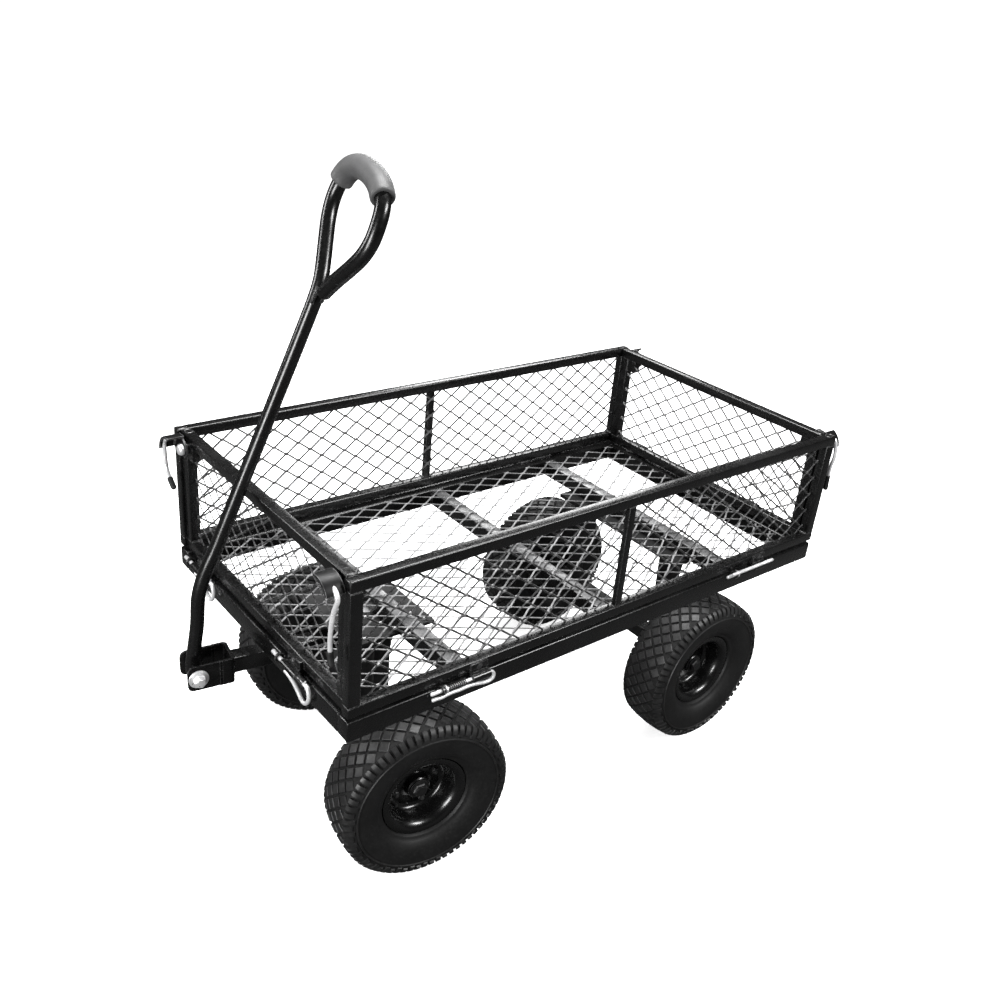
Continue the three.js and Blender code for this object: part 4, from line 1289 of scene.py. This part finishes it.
def pivot_bolt():
    """Shank, then the washer and head on the left."""
    return Shape().merge(
        lathe([(0.1, -32), (4.4, -31.8), (5.0, -31), (5.0, 24)], 24, "y", PIVOT, solid=True),
        sleeve(5.3, 14, 23.3, 25.4, "y", PIVOT, chamfer=(0.4, 0.4), segments=40),
        disc((PIVOT_X, 25.3, PIVOT_Z), 10.6, 1.6, 36, 0.5),
        hex_head((PIVOT_X, 26.8, PIVOT_Z), 9.1, 8.2, 0.25),
        disc((PIVOT_X, 34.8, PIVOT_Z), 6.0, 2.0, 28, 0.7))


def pivot_nut():
    """Washer and nut on the right."""
    return Shape().merge(
        sleeve(5.3, 12, -23.3, -25.0, "y", PIVOT, chamfer=(0.4, 0.4), segments=36),
        hex_head((PIVOT_X, -25.0, PIVOT_Z), 9.2, -5.6, 0.1))


piece("handle_bent_tube", handle_tube(), [BLACK], "handle", "black_frame", "handle_tube",
      place=STEER)
piece("handle_foam_grip", grip_sleeve(), [GRIP_FOAM], "handle", "grip", "handle_grip",
      sharp=50, place=STEER)
piece("handle_pivot_bolt", pivot_bolt(), [ZINC], "steering", "zinc", "handle_bolt",
      place=STEER)
piece("handle_pivot_nut", pivot_nut(), [ZINC], "steering", "zinc", "handle_nut", place=STEER)

# ---------------- undercarriage: CAD solids with a softened edge ----------------
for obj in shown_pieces():
    node_name = obj.get("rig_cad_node")
    if node_name is None:
        continue
    obj.data.materials.clear()
    obj.data.materials.append(ZINC if node_name == "kingpin_bolt" else UNDER_BLACK)
    soften = obj.modifiers.new("soft_edges", "BEVEL")
    soften.width = 0.0012
    soften.segments = 2
    soften.limit_method = "ANGLE"
    soften.angle_limit = radians(40)

for spring, joint, anchor, keep in side_coils:
    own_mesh(spring)
    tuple(anchor)


# ---------------- floor, world and lights (metres) ----------------
def pale_floor():
    """Glows pale to the camera, but is dark to other rays so that it bounces little light."""
    material, tree, surface = new_material("floor_pale")
    seen = add_node(tree, "ShaderNodeLightPath").outputs["Is Camera Ray"]
    glow = add_node(tree, "ShaderNodeMath", {0: seen, 1: 0.62}, operation="MULTIPLY")
    set_inputs(tree, surface, {
        "Base Color": mix_colour(tree, seen, (0.045, 0.045, 0.045, 1), (0.94, 0.94, 0.94, 1)),
        "Roughness": 0.95,
        "Specular IOR Level": 0.1,
        "Emission Color": (1, 1, 1, 1),
        "Emission Strength": glow.outputs[0]})
    return material


def stage_floor():
    half, z = 90, SHIFT_Z / 1000 - 0.0005
    mesh = bpy.data.meshes.new("floor")
    mesh.from_pydata([(-half, -half, z), (half, -half, z), (half, half, z), (-half, half, z)],
                     [], [(0, 1, 2, 3)])
    mesh.materials.append(pale_floor())
    link_object("floor", mesh)


def soft_world():
    """White; its strength depends on the kind of ray."""
    world = bpy.data.worlds.new("soft")
    bpy.context.scene.world = world
    world.use_nodes = True
    tree = world.node_tree
    rays = add_node(tree, "ShaderNodeLightPath").outputs
    diffuse, glossy, camera = 0.5, 0.04, 1.1
    unseen = add_node(tree, "ShaderNodeMix", {"Factor": rays["Is Glossy Ray"], 2: diffuse,
                                              3: glossy}, data_type="FLOAT")
    strength = add_node(tree, "ShaderNodeMix", {"Factor": rays["Is Camera Ray"],
                                                2: unseen.outputs[0], 3: camera},
                        data_type="FLOAT")
    set_inputs(tree, tree.nodes["Background"], {0: (1, 1, 1, 1), 1: strength.outputs[0]})


def area_light(name, location, target, size, power):
    light = bpy.data.lights.new(name, "AREA")
    light.shape = "RECTANGLE"
    light.size, light.size_y = size
    light.energy = power
    obj = link_object(name, light)
    obj.location = location
    aim = Vector(target) - Vector(location)
    obj.rotation_euler = aim.to_track_quat("-Z", "Y").to_euler()


stage_floor()
soft_world()
# name, location, target, size, power
for light in (("key", (-1.2, 2.2, 1.9), (0, 0, 0), (1.3, 0.7), 105),
              ("fill", (2.9, 0.95, 0.5), (0, 0, 0.1), (0.8, 1.5), 95),
              ("back", (-1.9, -2.2, 1.45), (0, 0, 0), (1.2, 0.45), 26),
              ("side", (2.4, -1.8, 1.3), (0, 0, 0), (0.5, 1.2), 45),
              ("top", (-0.3, -0.5, 2.9), (0, 0, 0), (2.2, 0.9), 190)):
    area_light(*light)
view = bpy.context.scene.view_settings
view.view_transform = "Standard"
view.look = "None"
view.exposure = 0.0
view.gamma = 1.0


# ---------------- camera ----------------
def add_camera(location, azimuth, elevation, roll, lens):
    """azimuth turns the camera from -Y towards +X round the cart; lens is in mm."""
    back = Vector((sin(azimuth) * cos(elevation), -cos(azimuth) * cos(elevation),
                   sin(elevation)))
    level = Vector((0, 0, 1)).cross(back).normalized()
    upright = back.cross(level)
    right = level * cos(roll) + upright * sin(roll)
    up = -level * sin(roll) + upright * cos(roll)
    camera = bpy.data.cameras.new("camera")
    camera.sensor_width = 36
    camera.lens = lens
    camera.clip_start, camera.clip_end = 0.05, 400
    obj = link_object("camera", camera)
    pose = Matrix((right, up, back)).transposed().to_4x4()
    pose.translation = Vector(location)
    obj.matrix_world = pose
    bpy.context.scene.camera = obj


add_camera(location=(0.98996, 1.105827, 0.818137), azimuth=radians(139.497),
           elevation=radians(26.53), roll=radians(5.507), lens=37.02564)
